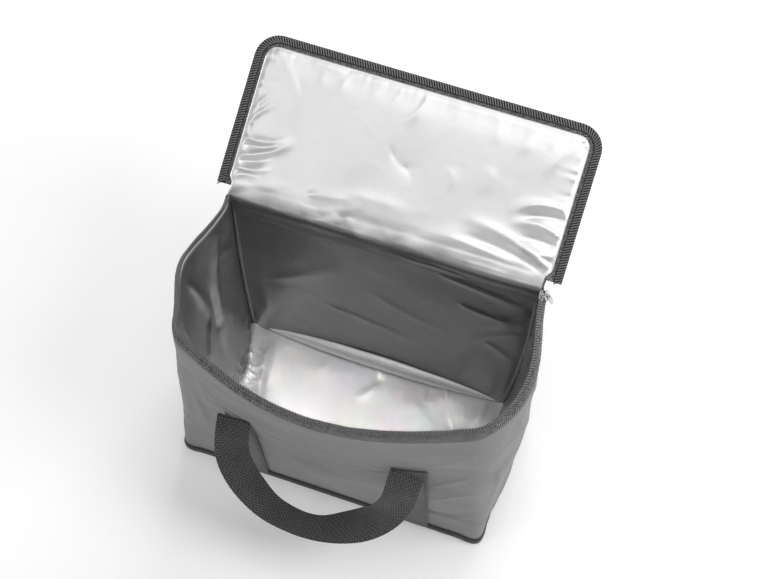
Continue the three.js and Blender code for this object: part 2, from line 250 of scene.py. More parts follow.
# ---------------------------------------------------------------- meshes
class Patchwork:
    """Collects grids of points, in millimetres, into one closed mesh."""

    def __init__(self) -> None:
        """Start with no points and no faces."""
        self.points: list[Array] = []
        self.maps: list[Array] = []
        self.faces: list[Array] = []
        self.count = 0

    def add(self, points: Array, uv: Optional[Array] = None) -> Array:
        """Add points of any grid shape.

        Args:
            points: Array of shape (..., 3).
            uv: Surface coordinates of shape (..., 2), in millimetres.

        Returns:
            The points' numbers, in the same grid shape.
        """
        shape = points.shape[:-1]
        flat = points.reshape(-1, 3)
        uv = np.zeros(shape + (2,)) if uv is None else uv
        self.points.append(flat)
        self.maps.append(np.broadcast_to(uv, shape + (2,)).reshape(-1, 2))
        numbers = np.arange(self.count, self.count + len(flat)).reshape(shape)
        self.count += len(flat)
        return numbers

    def skin(self, net: Array, round_first: bool = False, round_second: bool = False) -> None:
        """Cover a grid of point numbers with quads, closed on itself along either way if asked.

        Args:
            net: Grid of point numbers.
            round_first: Whether its rows close on themselves along the first way.
            round_second: Whether they do along the second way.
        """
        if round_first:
            net = np.concatenate([net, net[..., :1, :]], axis=-2)
        if round_second:
            net = np.concatenate([net, net[..., :1]], axis=-1)
        corners = (net[..., :-1, :-1], net[..., 1:, :-1], net[..., 1:, 1:], net[..., :-1, 1:])
        self.faces.append(np.stack(corners, -1).reshape(-1, 4))

    def cap(self, rings: Array, centres: Array, turned: bool) -> None:
        """Close rings with triangles to their centres.

        Args:
            rings: Point numbers of the rings, shape (..., n).
            centres: Point number of the centre of each ring.
            turned: Whether the triangles run the other way round.
        """
        after = np.roll(rings, -1, axis=-1)
        middle = np.broadcast_to(centres[..., None], rings.shape)
        order = (after, rings, middle, middle) if turned else (rings, after, middle, middle)
        self.faces.append(np.stack(order, -1).reshape(-1, 4))

    def shell(self, front: Array, back: Array, uv: Optional[Array] = None) -> None:
        """Add a thin closed sheet between two grids of the same shape.

        Args:
            front: Points of one face.
            back: Points of the other face.
            uv: Surface coordinates of both.
        """
        a, b = self.add(front, uv), self.add(back, uv)
        self.skin(a)
        self.skin(b[:, ::-1])
        for near, far in ((a[0], b[0]), (b[-1], a[-1]), (b[:, 0], a[:, 0]), (a[:, -1], b[:, -1])):
            self.skin(np.stack([near, far]))

    def sweep(self, rings: Array, uv: Optional[Array] = None) -> None:
        """Add a rod with closed ends.

        Args:
            rings: Its cross-sections, shape (steps, n, 3).
            uv: Surface coordinates of the rings.
        """
        net = self.add(rings, uv)
        self.skin(net, round_second=True)
        for ring, points, turned in ((net[0], rings[0], False), (net[-1], rings[-1], True)):
            tip = self.add(points.mean(axis=0)[None])
            self.cap(ring, tip[0], turned)

    def piece(self, name: str) -> bpy.types.Object:
        """Make the object, in metres, smooth, with its faces pointing out of its solid.

        Args:
            name: The piece's name.

        Returns:
            The new object, at the origin, linked to the scene.
        """
        points = np.concatenate(self.points) * MM
        faces = np.concatenate(self.faces)
        triangle = faces[:, 2] == faces[:, 3]
        a, b, c, d = (points[faces[:, k]] for k in range(4))
        volume = (a * np.cross(b, c)).sum() + (a * np.cross(c, d)).sum()
        sizes = np.where(triangle, 3, 4)
        if volume < 0:
            faces = np.where(triangle[:, None], faces[:, [1, 0, 2, 3]], faces[:, ::-1])
        keep = np.ones(faces.shape, bool)
        keep[triangle, 3] = False
        corners = faces[keep]
        mesh = bpy.data.meshes.new(name)
        mesh.vertices.add(len(points))
        mesh.vertices.foreach_set("co", points.astype(np.float32).ravel())
        mesh.loops.add(len(corners))
        mesh.loops.foreach_set("vertex_index", corners.astype(np.int32))
        mesh.polygons.add(len(faces))
        starts = np.concatenate([[0], np.cumsum(sizes)[:-1]]).astype(np.int32)
        mesh.polygons.foreach_set("loop_start", starts)
        mesh.polygons.foreach_set("use_smooth", np.ones(len(faces), bool))
        mesh.update(calc_edges=True)
        layer = mesh.uv_layers.new(name="UVMap")
        flat = np.concatenate(self.maps)[corners] * MM
        layer.data.foreach_set("uv", flat.astype(np.float32).ravel())
        mesh.validate()
        obj = bpy.data.objects.new(name, mesh)
        bpy.context.scene.collection.objects.link(obj)
        return obj


def grid(first: Array, second: Array) -> tuple[Array, Array]:
    """Return two arrays that hold every pair of the first and the second stations."""
    return np.meshgrid(first, second, indexing="ij")


def evenly(low: float, high: float, step: float) -> Array:
    """Return stations from low to high, at most a step apart."""
    return np.linspace(low, high, max(2, int(math.ceil(abs(high - low) / step)) + 1))


def travel(path: Array) -> tuple[Array, Array]:
    """Follow a path.

    Args:
        path: Points of the path, in order.

    Returns:
        Its unit directions, and its run from the start to each point.
    """
    ahead = np.gradient(path, axis=0)
    ahead /= np.linalg.norm(ahead, axis=1)[:, None]
    step = np.linalg.norm(np.diff(path, axis=0), axis=1)
    return ahead, np.concatenate([[0], np.cumsum(step)])


def unit(vectors: Array) -> Array:
    """Return the vectors at length 1."""
    return vectors / np.linalg.norm(vectors, axis=-1, keepdims=True)


def coil_on(path: Array, across: Array, proud: Array, half: Pair, wire: float,
            pitch: float, slant: float) -> Patchwork:
    """Wind a zip's nylon coil along a path: a flattened helix of round wire.

    Each turn goes once round an ellipse whose half sizes lie across the tape and proud of it.
    The upper strand leans along the zip and the lower one comes back.

    Args:
        path: Middle line of the coil, evenly spaced.
        across: Unit vectors across the tape at each path point.
        proud: Unit vectors out of the tape at each path point.
        half: The helix's half sizes, across and proud.
        wire: The wire's radius.
        pitch: Distance from one turn to the next.
        slant: How far a strand leans along the zip, in pitches.

    Returns:
        The closed coil.
    """
    ahead, run = travel(path)
    turns = int(run[-1] / pitch)
    s = np.linspace(0, run[-1], turns * TURN_SAMPLES + 1)
    turn = 2 * math.pi * np.arange(len(s)) / TURN_SAMPLES

    middle = at_run(s, run, path)
    side, out, along = (unit(at_run(s, run, values)) for values in (across, proud, ahead))
    bulge = eased(np.cos(turn), 0.6)
    wound = (middle + side * (half[0] * bulge)[:, None] + out * (half[1] * np.sin(turn))[:, None]
             - along * (0.5 * slant * pitch * np.cos(turn))[:, None])
    heading, _ = travel(wound)
    first = unit(np.cross(heading, along + 0.3 * out))
    second = np.cross(heading, first)
    angle = circle(WIRE_SIDES)
    rings = (wound[:, None] + wire * np.cos(angle)[None, :, None] * first[:, None]
             + wire * np.sin(angle)[None, :, None] * second[:, None])
    work = Patchwork()
    work.sweep(rings, np.stack(grid(s, angle), -1))
    return work


def stitches(work: Patchwork, path: Array, proud: Array, pitch: float = 4.2,
             length: float = 3.0, thread: float = 0.34) -> None:
    """Lay a row of thread stitches along a path: each is a small rod that dips at both ends.

    Args:
        work: Where the stitches go.
        path: The seam's line on the surface.
        proud: Unit vectors out of the surface at the path's points.
        pitch: Distance between stitches.
        length: Length of a stitch.
        thread: The thread's radius.
    """
    ahead, run = travel(path)
    count = max(2, int(run[-1] / pitch))
    s = (np.arange(count) + 0.5) * run[-1] / count
    place = at_run(s, run, path)
    along, out = unit(at_run(s, run, ahead)), unit(at_run(s, run, proud))
    side = np.cross(out, along)
    t = np.linspace(-1, 1, 5)
    angle = circle(WIRE_SIDES)
    reach = thread * np.sqrt(np.clip(1 - t**2 * 0.75, 0.05, 1))
    middle = (place[:, None] + along[:, None] * (t * length / 2)[None, :, None]
              + out[:, None] * (thread * (0.9 - 1.5 * t**2))[None, :, None])
    rings = (middle[:, :, None] + side[:, None, None] * (reach[:, None] * np.cos(angle))[..., None]
             + out[:, None, None] * (reach[:, None] * np.sin(angle))[..., None])
    net = work.add(rings)
    work.skin(net, round_second=True)
    tips = work.add(middle[:, [0, -1]])
    work.cap(net[:, 0], tips[:, 0], False)
    work.cap(net[:, -1], tips[:, 1], True)


# ---------------------------------------------------------------- shader maths
def grey(shade: float) -> Triple:
    """Return a grey of that brightness."""
    return (shade, shade, shade)


Plain = Union[float, "Value"]


@dataclass(frozen=True)
class Value:
    """A number that varies over a surface, with Python's arithmetic on it."""

    net: "Net"
    socket: bpy.types.NodeSocket

    def _maths(self, operation: str, *terms: Plain) -> "Value":
        """Return the result of a Math node on the terms."""
        inputs = {i: term for i, term in enumerate(terms)}
        return self.net.node("ShaderNodeMath", {"operation": operation}, inputs)

    def __add__(self, other: Plain) -> "Value":
        """Return self plus other."""
        return self._maths("ADD", self, other)

    def __radd__(self, other: Plain) -> "Value":
        """Return other plus self."""
        return self._maths("ADD", other, self)

    def __sub__(self, other: Plain) -> "Value":
        """Return self less other."""
        return self._maths("SUBTRACT", self, other)

    def __rsub__(self, other: Plain) -> "Value":
        """Return other less self."""
        return self._maths("SUBTRACT", other, self)

    def __mul__(self, other: Plain) -> "Value":
        """Return self times other."""
        return self._maths("MULTIPLY", self, other)

    def __rmul__(self, other: Plain) -> "Value":
        """Return other times self."""
        return self._maths("MULTIPLY", other, self)

    def sine(self) -> "Value":
        """Return the sine of self."""
        return self._maths("SINE", self)

    def zigzag(self, scale: float) -> "Value":
        """Return a triangle wave of that height."""
        return self._maths("PINGPONG", self, scale)

    def clipped(self) -> "Value":
        """Return self held between 0 and 1."""
        return self._maths("MAXIMUM", self._maths("MINIMUM", self, 1.0), 0.0)


class Net:
    """The node tree of one finish, with a Principled shader on its output."""

    def __init__(self, name: str) -> None:
        """Make an empty material.

        Args:
            name: The material's name.
        """
        self.material = bpy.data.materials.new(name)
        self.material.use_nodes = True
        self.tree = self.material.node_tree
        self.tree.nodes.clear()
        self.shader = self.tree.nodes.new("ShaderNodeBsdfPrincipled")
        output = self.tree.nodes.new("ShaderNodeOutputMaterial")
        self.tree.links.new(self.shader.outputs[0], output.inputs[0])

    def plug(self, node: bpy.types.Node, key: Union[str, int], value: object) -> None:
        """Set or link one socket of a node.

        Args:
            node: The node.
            key: Name or number of its socket.
            value: A plain value, or an output to link.
        """
        socket = node.inputs[key]
        if isinstance(value, Value):
            self.tree.links.new(value.socket, socket)
        elif isinstance(value, bpy.types.NodeSocket):
            self.tree.links.new(value, socket)
        else:
            socket.default_value = value

    def node(self, kind: str, settings: dict, inputs: dict, output: Union[str, int] = 0) -> Value:
        """Add a node.

        Args:
            kind: Its Blender type.
            settings: Its settings, set before its sockets.
            inputs: Values or links of its sockets, by name or number.
            output: The output wanted.

        Returns:
            That output.
        """
        node = self.tree.nodes.new(kind)
        for key, value in settings.items():
            setattr(node, key, value)
        for key, value in inputs.items():
            self.plug(node, key, value)
        return Value(self, node.outputs[output])

    def surface(self) -> tuple[Value, Value]:
        """Read the piece's own surface coordinates.

        Returns:
            The two coordinates, in millimetres.
        """
        uv = self.node("ShaderNodeUVMap", {"uv_map": "UVMap"}, {})
        scaled = self.node("ShaderNodeVectorMath", {"operation": "SCALE"}, {0: uv, "Scale": 1000.0})
        apart = self.tree.nodes.new("ShaderNodeSeparateXYZ")
        self.plug(apart, 0, scaled)
        return Value(self, apart.outputs[0]), Value(self, apart.outputs[1])

    def noise(self, pitch: float, detail: float = 2.0, rough: float = 0.5,
              stretch: Triple = (1.0, 1.0, 1.0)) -> Value:
        """Add noise.

        Args:
            pitch: Distance between its grains, in millimetres.
            detail: Number of finer layers.
            rough: Strength of the finer layers.
            stretch: Scale of the place along x, y and z.

        Returns:
            The noise, from 0 to 1.
        """
        place = self.tree.nodes.new("ShaderNodeTexCoord").outputs["Object"]
        turned = self.node("ShaderNodeMapping", {}, {0: place, "Scale": stretch})
        return self.node("ShaderNodeTexNoise", {}, {
            "Vector": turned, "Scale": 1.0 / (pitch * MM), "Detail": detail, "Roughness": rough})

    def blend(self, share: Value, low: Triple, high: Triple) -> Value:
        """Return the colour between low and high by share."""
        return self.node("ShaderNodeMix", {"data_type": "RGBA"}, {
            0: share, 6: (*low, 1.0), 7: (*high, 1.0)}, 2)

    def raise_by(self, height: Value, distance: float, strength: float = 1.0) -> None:
        """Give the surface relief: height from 0 to 1 over a distance in millimetres."""
        bump = self.node("ShaderNodeBump", {}, {
            "Height": height, "Distance": distance * MM, "Strength": strength})
        self.plug(self.shader, "Normal", bump)

    def finish(self, **sockets: object) -> bpy.types.Material:
        """Set the shader's sockets.

        Args:
            **sockets: Their values, with underscores for the spaces in their names.

        Returns:
            The finished material.
        """
        for key, value in sockets.items():
            self.plug(self.shader, key.replace("_", " "), value)
        return self.material


@dataclass(frozen=True)
class Finish:
    """A finish that a piece can wear: a name, the record's slot and the shades it runs between."""

    name: str
    slot: str
    dark: Triple
    light: Triple
    roughness: float

    def nodes(self, net: Net) -> bpy.types.Material:
        """Fill in the node tree."""
        raise NotImplementedError

    def on(self, piece: bpy.types.Object) -> bpy.types.Object:
        """Dress a piece in this finish.

        Args:
            piece: The piece.

        Returns:
            The same piece.
        """
        material = bpy.data.materials.get(self.name) or self.nodes(Net(self.name))
        piece.data.materials.clear()
        piece.data.materials.append(material)
        return piece

    def sheet(self, name: str, front: Array, back: Array,
              uv: Optional[Array] = None) -> bpy.types.Object:
        """Make a thin closed sheet between two grids, in this finish.

        Args:
            name: The piece's name.
            front: Points of one face.
            back: Points of the other face.
            uv: Surface coordinates of both.

        Returns:
            The new piece.
        """
        work = Patchwork()
        work.shell(front, back, uv)
        return self.on(work.piece(name))


@dataclass(frozen=True)
class Weave(Finish):
    """Plain woven fabric: threads over and under, cloudy shading, stray lint."""

    thread: float = 0.62
    sheen: float = 0.25
    relief: float = 0.09

    def nodes(self, net: Net) -> bpy.types.Material:
        """Cross two sines for the threads, and let soft noise drift the shade.

        Args:
            net: The empty node tree to fill in.

        Returns:
            The finished material.
        """
        u, v = net.surface()
        beat = 2 * math.pi / self.thread
        threads = (u * beat).sine() * (v * beat).sine() * 0.5 + 0.5
        cloud = net.noise(38.0, 3.0, 0.55)
        slub = net.noise(2.6, 2.0, 0.6, (1.0, 1.0, 0.22))
        grain = net.noise(0.8, 2.0, 0.7)
        tone = (cloud * 0.55 + slub * 0.3 + grain * 0.35 + threads * 0.14 - 0.17).clipped()
        net.raise_by(threads * 0.55 + grain * 0.45, self.relief)
        return net.finish(
            Base_Color=net.blend(tone, self.dark, self.light),
            Roughness=cloud * 0.12 + (self.roughness - 0.06),
            Sheen_Weight=self.sheen,
            Sheen_Roughness=0.5,
            Specular_IOR_Level=0.3,
        )


@dataclass(frozen=True)
class Webbing(Finish):
    """Ribbed webbing: rows of thick yarn across the strap, whose bumps step sideways row by row."""

    row: float = 3.0
    bump: float = 3.2

    def nodes(self, net: Net) -> bpy.types.Material:
        """Cross rows along the strap with bumps across it, shifted by half from row to row.

        Args:
            net: The empty node tree to fill in.

        Returns:
            The finished material.
        """
        u, v = net.surface()
        rows = (v * (2 * math.pi / self.row)).sine()
        steps = (u * (2 * math.pi / self.bump) + v * (math.pi / self.row)).sine()
        twill = (u * (math.pi / self.bump) - v * (math.pi / self.row)).sine()
        yarn = (rows * 0.2 + steps * 0.3 + twill * 0.12 + 0.5).clipped()
        fuzz = net.noise(1.6, 2.0, 0.7)
        cloud = net.noise(30.0, 2.0)
        tone = (yarn * 0.8 + fuzz * 1.1 + cloud * 0.3 - 0.78).clipped()
        net.raise_by(yarn * 0.8 + fuzz * 0.2, 0.6)
        return net.finish(
            Base_Color=net.blend(tone, self.dark, self.light),
            Roughness=fuzz * 0.2 + (self.roughness - 0.1),
            Sheen_Weight=0.2,
            Sheen_Roughness=0.45,
        )


@dataclass(frozen=True)
class Herringbone(Finish):
    """Zip tape: fine slanting ribs that turn back at the middle of the tape."""

    rib: float = 2.7
    turn: float = 5.0

    def nodes(self, net: Net) -> bpy.types.Material:
        """Slant the ribs by a zigzag of the distance across the tape.

        Args:
            net: The empty node tree to fill in.

        Returns:
            The finished material.
        """
        u, v = net.surface()
        slant = v.zigzag(self.turn) * 0.9
        ribs = ((u + slant) * (2 * math.pi / self.rib)).sine() * 0.5 + 0.5
        fuzz = net.noise(2.1, 1.0, 0.5)
        cloud = net.noise(22.0, 2.0)
        tone = (ribs * 0.8 + fuzz * 1.9 + cloud * 0.2 - 1.05).clipped()
        net.raise_by(ribs * 0.7 + fuzz * 0.3, 0.35)
        return net.finish(
            Base_Color=net.blend(tone, self.dark, self.light),
            Roughness=fuzz * 0.2 + (self.roughness - 0.1),
            Sheen_Weight=0.15,
        )


@dataclass(frozen=True)
class Nylon(Finish):
    """Moulded or drawn nylon: faint mottling and a soft gloss. Also serves sewing thread."""

    def nodes(self, net: Net) -> bpy.types.Material:
        """Mottle the shade and the gloss with fine noise.

        Args:
            net: The empty node tree to fill in.

        Returns:
            The finished material.
        """
        fleck = net.noise(1.6, 3.0, 0.6)
        net.raise_by(fleck, 0.06)
        return net.finish(
            Base_Color=net.blend(fleck, self.dark, self.light),
            Roughness=fleck * 0.2 + (self.roughness - 0.1),
        )


@dataclass(frozen=True)
class Foil(Finish):
    """Aluminised film: satin metal whose gloss drifts, with a fine pucker from its backing."""

    pucker: float = 0.5
    metal: float = 0.92

    def shade(self, net: Net, broad: Value) -> Value:
        """Return the film's colour, drifted by broad noise."""
        return net.blend(broad, self.dark, self.light)

    def nodes(self, net: Net) -> bpy.types.Material:
        """Drift the gloss with broad noise and pucker the film with two finer ones.

        Args:
            net: The empty node tree to fill in.

        Returns:
            The finished material.
        """
        broad = net.noise(26.0, 3.0, 0.5)
        dimple = net.noise(5.0, 3.0, 0.55)
        fine = net.noise(1.3, 2.0, 0.6)
        net.raise_by(dimple * 0.75 + fine * 0.25, self.pucker)
        return net.finish(
            Base_Color=self.shade(net, broad),
            Metallic=self.metal,
            Roughness=broad * 0.14 + dimple * 0.08 + (self.roughness - 0.11),
        )


@dataclass(frozen=True)
class TurningFoil(Foil):
    """Film that runs from the shaded back wall over the fold: its wall end is painted dark as
    painted shade, its lid end bright as painted light.
    """

    # The wall end's greys are those of the back's film, painted dark as painted shade.
    painted_shade_dark: Triple = grey(0.235)
    painted_shade_pale: Triple = grey(0.32)

    def shade(self, net: Net, broad: Value) -> Value:
        """Fade from the painted shade of the wall end to the painted light of the lid end across
        the hinge, over about 20 mm, on a wavy line.

        Args:
            net: The node tree.
            broad: Broad noise that drifts both shades.

        Returns:
            The film's colour.
        """
        _, from_hinge = net.surface()
        sway = net.noise(40.0, 1.0)
        share = ((from_hinge + sway * 20.0 - 6.0) * 0.05).clipped()
        wall = net.blend(broad, self.painted_shade_dark, self.painted_shade_pale)
        lid = net.blend(broad, self.dark, self.light)
        return net.node("ShaderNodeMix", {"data_type": "RGBA"}, {0: share, 6: wall, 7: lid}, 2)


@dataclass(frozen=True)
class Foam(Finish):
    """Closed-cell foam sheet: a skin of small cells."""

    def nodes(self, net: Net) -> bpy.types.Material:
        """Press rounded cells into the skin.

        Args:
            net: The empty node tree to fill in.

        Returns:
            The finished material.
        """
        place = net.tree.nodes.new("ShaderNodeTexCoord").outputs["Object"]
        cells = net.node("ShaderNodeTexVoronoi", {}, {"Vector": place, "Scale": 700.0})
        tone = (cells * 0.8 + net.noise(12.0) * 0.3).clipped()
        net.raise_by(cells, 0.3)
        return net.finish(Base_Color=net.blend(tone, self.dark, self.light),
                          Roughness=self.roughness)


@dataclass(frozen=True)
class CastMetal(Finish):
    """Bright die-cast metal, rubbed by use."""

    def nodes(self, net: Net) -> bpy.types.Material:
        """Let fine streaks and blotches change the gloss.

        Args:
            net: The empty node tree to fill in.

        Returns:
            The finished material.
        """
        streak = net.noise(0.8, 3.0, 0.6, (1.0, 0.2, 1.0))
        blotch = net.noise(4.0, 2.0)
        net.raise_by(streak, 0.05)
        return net.finish(
            Base_Color=net.blend(blotch, self.dark, self.light),
            Metallic=1.0,
            Roughness=streak * 0.16 + blotch * 0.1 + (self.roughness - 0.1),
        )


@dataclass(frozen=True)
class Floor(Finish):
    """The pale floor that the bag stands on, or the wall behind it."""

    glow: float = 0.2

    def nodes(self, net: Net) -> bpy.types.Material:
        """Give the floor a barely visible drift of shade.

        Args:
            net: The empty node tree to fill in.

        Returns:
            The finished material.
        """
        drift = net.noise(400.0, 2.0)
        return net.finish(Base_Color=net.blend(drift, self.dark, self.light),
                          Roughness=self.roughness, Emission_Color=(1.0, 1.0, 1.0, 1.0),
                          Emission_Strength=self.glow)


GREY_CLOTH = Weave("grey polyester", "grey_fabric", grey(0.20), grey(0.30), 0.78)
BLACK_CLOTH = Weave("black polyester", "black_fabric", grey(0.012), grey(0.03), 0.8)
STRAP = Webbing("charcoal webbing", "webbing", grey(0.010), grey(0.15), 0.7)
FLAT_STRAP = Webbing("sewn webbing", "webbing", grey(0.04), grey(0.21), 0.72)
# Painted light: the lid's tape is painted a little lighter than the mouth's, to brighten it where
# its coil shades it.
TAPE = Herringbone("zip tape", "zip_tape", grey(0.02), grey(0.36), 0.72)
RIM_TAPE = Herringbone("mouth tape", "zip_tape", grey(0.012), grey(0.33), 0.75)
COIL = Nylon("nylon coil", "zip_coil", grey(0.12), grey(0.30), 0.42)
RIM_COIL = Nylon("mouth coil", "zip_coil", grey(0.12), grey(0.27), 0.42)
THREAD = Nylon("grey thread", "zip_tape", grey(0.05), grey(0.16), 0.6)
# Painted light and shade: the bag has one silver film, given four shades here. The lid's and the
# floor's films are painted bright as painted light, and the floor's is also made less metallic so
# that it takes more light. The wrap's film is painted darker and the back's darker still, as
# painted shade.
LID_FILM_PAINTED_BRIGHT = TurningFoil("lid film painted bright", "silver_foil", grey(0.84), grey(0.93), 0.44, pucker=0.12,
                       metal=0.85)
LINING_FILM_PAINTED_SHADE = Foil("lining film", "silver_foil", grey(0.32), grey(0.43), 0.36, pucker=0.16)
BACK_FILM_PAINTED_SHADE = Foil("back film", "silver_foil", grey(0.235), grey(0.32), 0.36, pucker=0.16)
FLOOR_FILM_PAINTED_BRIGHT = Foil("floor film painted bright", "silver_foil", grey(0.95), grey(1.0), 0.40, pucker=0.12,
                  metal=0.35)
FOAM = Foam("white foam", "foam", grey(0.62), grey(0.85), 0.85)
METAL = CastMetal("slider metal", "slider_metal", grey(0.52), grey(0.75), 0.28)
PALE_FLOOR = Floor("pale floor", "floor", grey(0.90), grey(0.92), 0.9)
BACKDROP = Floor("pale backdrop", "floor", grey(0.90), grey(0.92), 0.9, glow=0.75)


# ---------------------------------------------------------------- the bag's form
class Side(Enum):
    """Which side of the bag a piece belongs to, as the sign of X."""

    LEFT = -1
    RIGHT = 1

    @property
    def word(self) -> str:
        """Return the side's name in lower case."""
        return self.name.lower()


@dataclass(frozen=True)
class BagForm:
    """The soft box that the walls follow, in millimetres.

    Attributes:
        width: Outside width of the base.
        depth: Outside depth of the base.
        corner: Plan radius of the front corners.
        wall_top: Height of the sewn top edge of the walls.
        mouth: Height of the rear fold.
        band: Height of the binding round the base.
        bow: How far the middle of the open front comes forward.
        corner_back: How far the front corners go back at the mouth.
        sag: How far the middle of the front edge sinks.
        back_lean: How far the back leans back at the mouth.
        nook: How far the front corners stand out near the base.
    """

    width: float = 376.0
    depth: float = 190.0
    corner: float = 18.0
    wall_top: float = 278.0
    mouth: float = 290.0
    band: float = 14.0
    bow: float = 52.0
    corner_back: float = 7.0
    sag: float = 6.0
    back_lean: float = 3.0
    nook: float = 3.6
    left_places: tuple[float, ...] = (-95, -80, -60, -40, -20, 0, 20, 40, 60, 80, 95)
    left_swell: tuple[float, ...] = (-12, -10, -4, 4, 11, 14, 11, 5, 0, -3, -1)
    right_places: tuple[float, ...] = (-95, -84, -70, -50, -30, -10, 10, 40, 70, 95)
    right_swell: tuple[float, ...] = (-4, 0, 7, 15, 19, 20, 18, 12, 5, 1)

    @property
    def side(self) -> float:
        """Return the straight run of a side."""
        return self.depth - self.corner

    @property
    def arc(self) -> float:
        """Return the run of a front corner."""
        return self.corner * math.pi / 2

    @property
    def across(self) -> float:
        """Return the straight run of the front."""
        return self.width - 2 * self.corner

    @property
    def run(self) -> float:
        """Return the whole run, from one rear corner to the other."""
        return 2 * (self.side + self.arc) + self.across

    def u_at(self, x: float) -> float:
        """Return u on the front at x."""
        return self.run / 2 + x

    def plan(self, u: Array, outward: Array) -> tuple[Array, Array]:
        """Place points on the flat-sided plan: straight runs joined by quarter circles.

        Args:
            u: Run round the bag.
            outward: Distance outward from the fabric's face.

        Returns:
            x and y of the points.
        """
        rear = self.depth / 2
        mirrored = np.abs(u - self.run / 2)
        turn = np.clip((mirrored - self.across / 2) / self.arc, 0, 1) * (math.pi / 2)
        straight = np.minimum(mirrored, self.across / 2)
        back = np.maximum(mirrored - self.across / 2 - self.arc, 0)
        reach = self.corner + outward
        x = straight + reach * np.sin(turn)
        y = -rear + self.corner - reach * np.cos(turn) + back
        return np.sign(u - self.run / 2 + 1e-9) * x, y

    def slack(self, x: Array, y: Array, z: Array) -> Array:
        """Let the soft walls bow as those of an open bag do.

        Nothing moves in the base band, and the shift grows with height. The front comes
        forward as a half wave, and each side swells by its own soft curve of y.

        Args:
            x: Place across the bag.
            y: Place from front to back.
            z: Height.

        Returns:
            The moved points, shape (..., 3).
        """
        half, rear = self.width / 2, self.depth / 2
        rise = np.maximum(0, (z - self.band) / (self.mouth - self.band))
        front = smooth((60 - y) / (60 + rear))
        behind = smooth((y - 60) / (rear - 60))
        wave = np.cos(math.pi * np.minimum(np.abs(x), half) / self.width)
        nook = np.exp(-((np.abs(x) - half + 4) ** 2 + (y + rear - 4) ** 2) / 150) * self.nook
        nook = nook * smooth((110 - z) / 100)
        left = through(y, self.left_places, self.left_swell) * rise
        right = through(y, self.right_places, self.right_swell) * rise**0.8
        belly = 6.0 * np.sin(math.pi * np.clip(rise, 0, 1)) * smooth((95 - y) / 60)
        share = (np.abs(x) / half) ** 2
        shift = np.where(x < 0, -share * (left + 0.25 * belly), share * (right + belly))
        forward = front * (self.corner_back - self.bow * wave)
        moved_x = x + shift + np.sign(x) * nook
        moved_y = y + rise * (forward + behind * self.back_lean)
        moved_z = z - self.sag * rise**3 * front * wave
        return np.stack(np.broadcast_arrays(moved_x, moved_y - nook, moved_z), -1)

    def wall(self, u: Array, z: Array, outward: Array) -> Array:
        """Return points on the side and front walls."""
        x, y = self.plan(u, outward)
        return self.slack(x, y, z)

    def back(self, x: Array, z: Array, outward: Array) -> Array:
        """Return points on the back wall."""
        return self.slack(x, self.depth / 2 + outward, z)

    def outward_at(self, u: Array, z: Array) -> Array:
        """Return unit vectors out of the side and front walls."""
        level = np.zeros(np.shape(u))
        return unit(self.wall(u, z, level + 1.0) - self.wall(u, z, level))


FORM = BagForm()
# Thicknesses, and how far the outer and inner faces of foam and film lie from the fabric's face.
FABRIC = 0.8
FILM = 0.6
FOAM_FACES = (-2.4, -4.9)
FILM_FACES = (-5.4, -6.0)


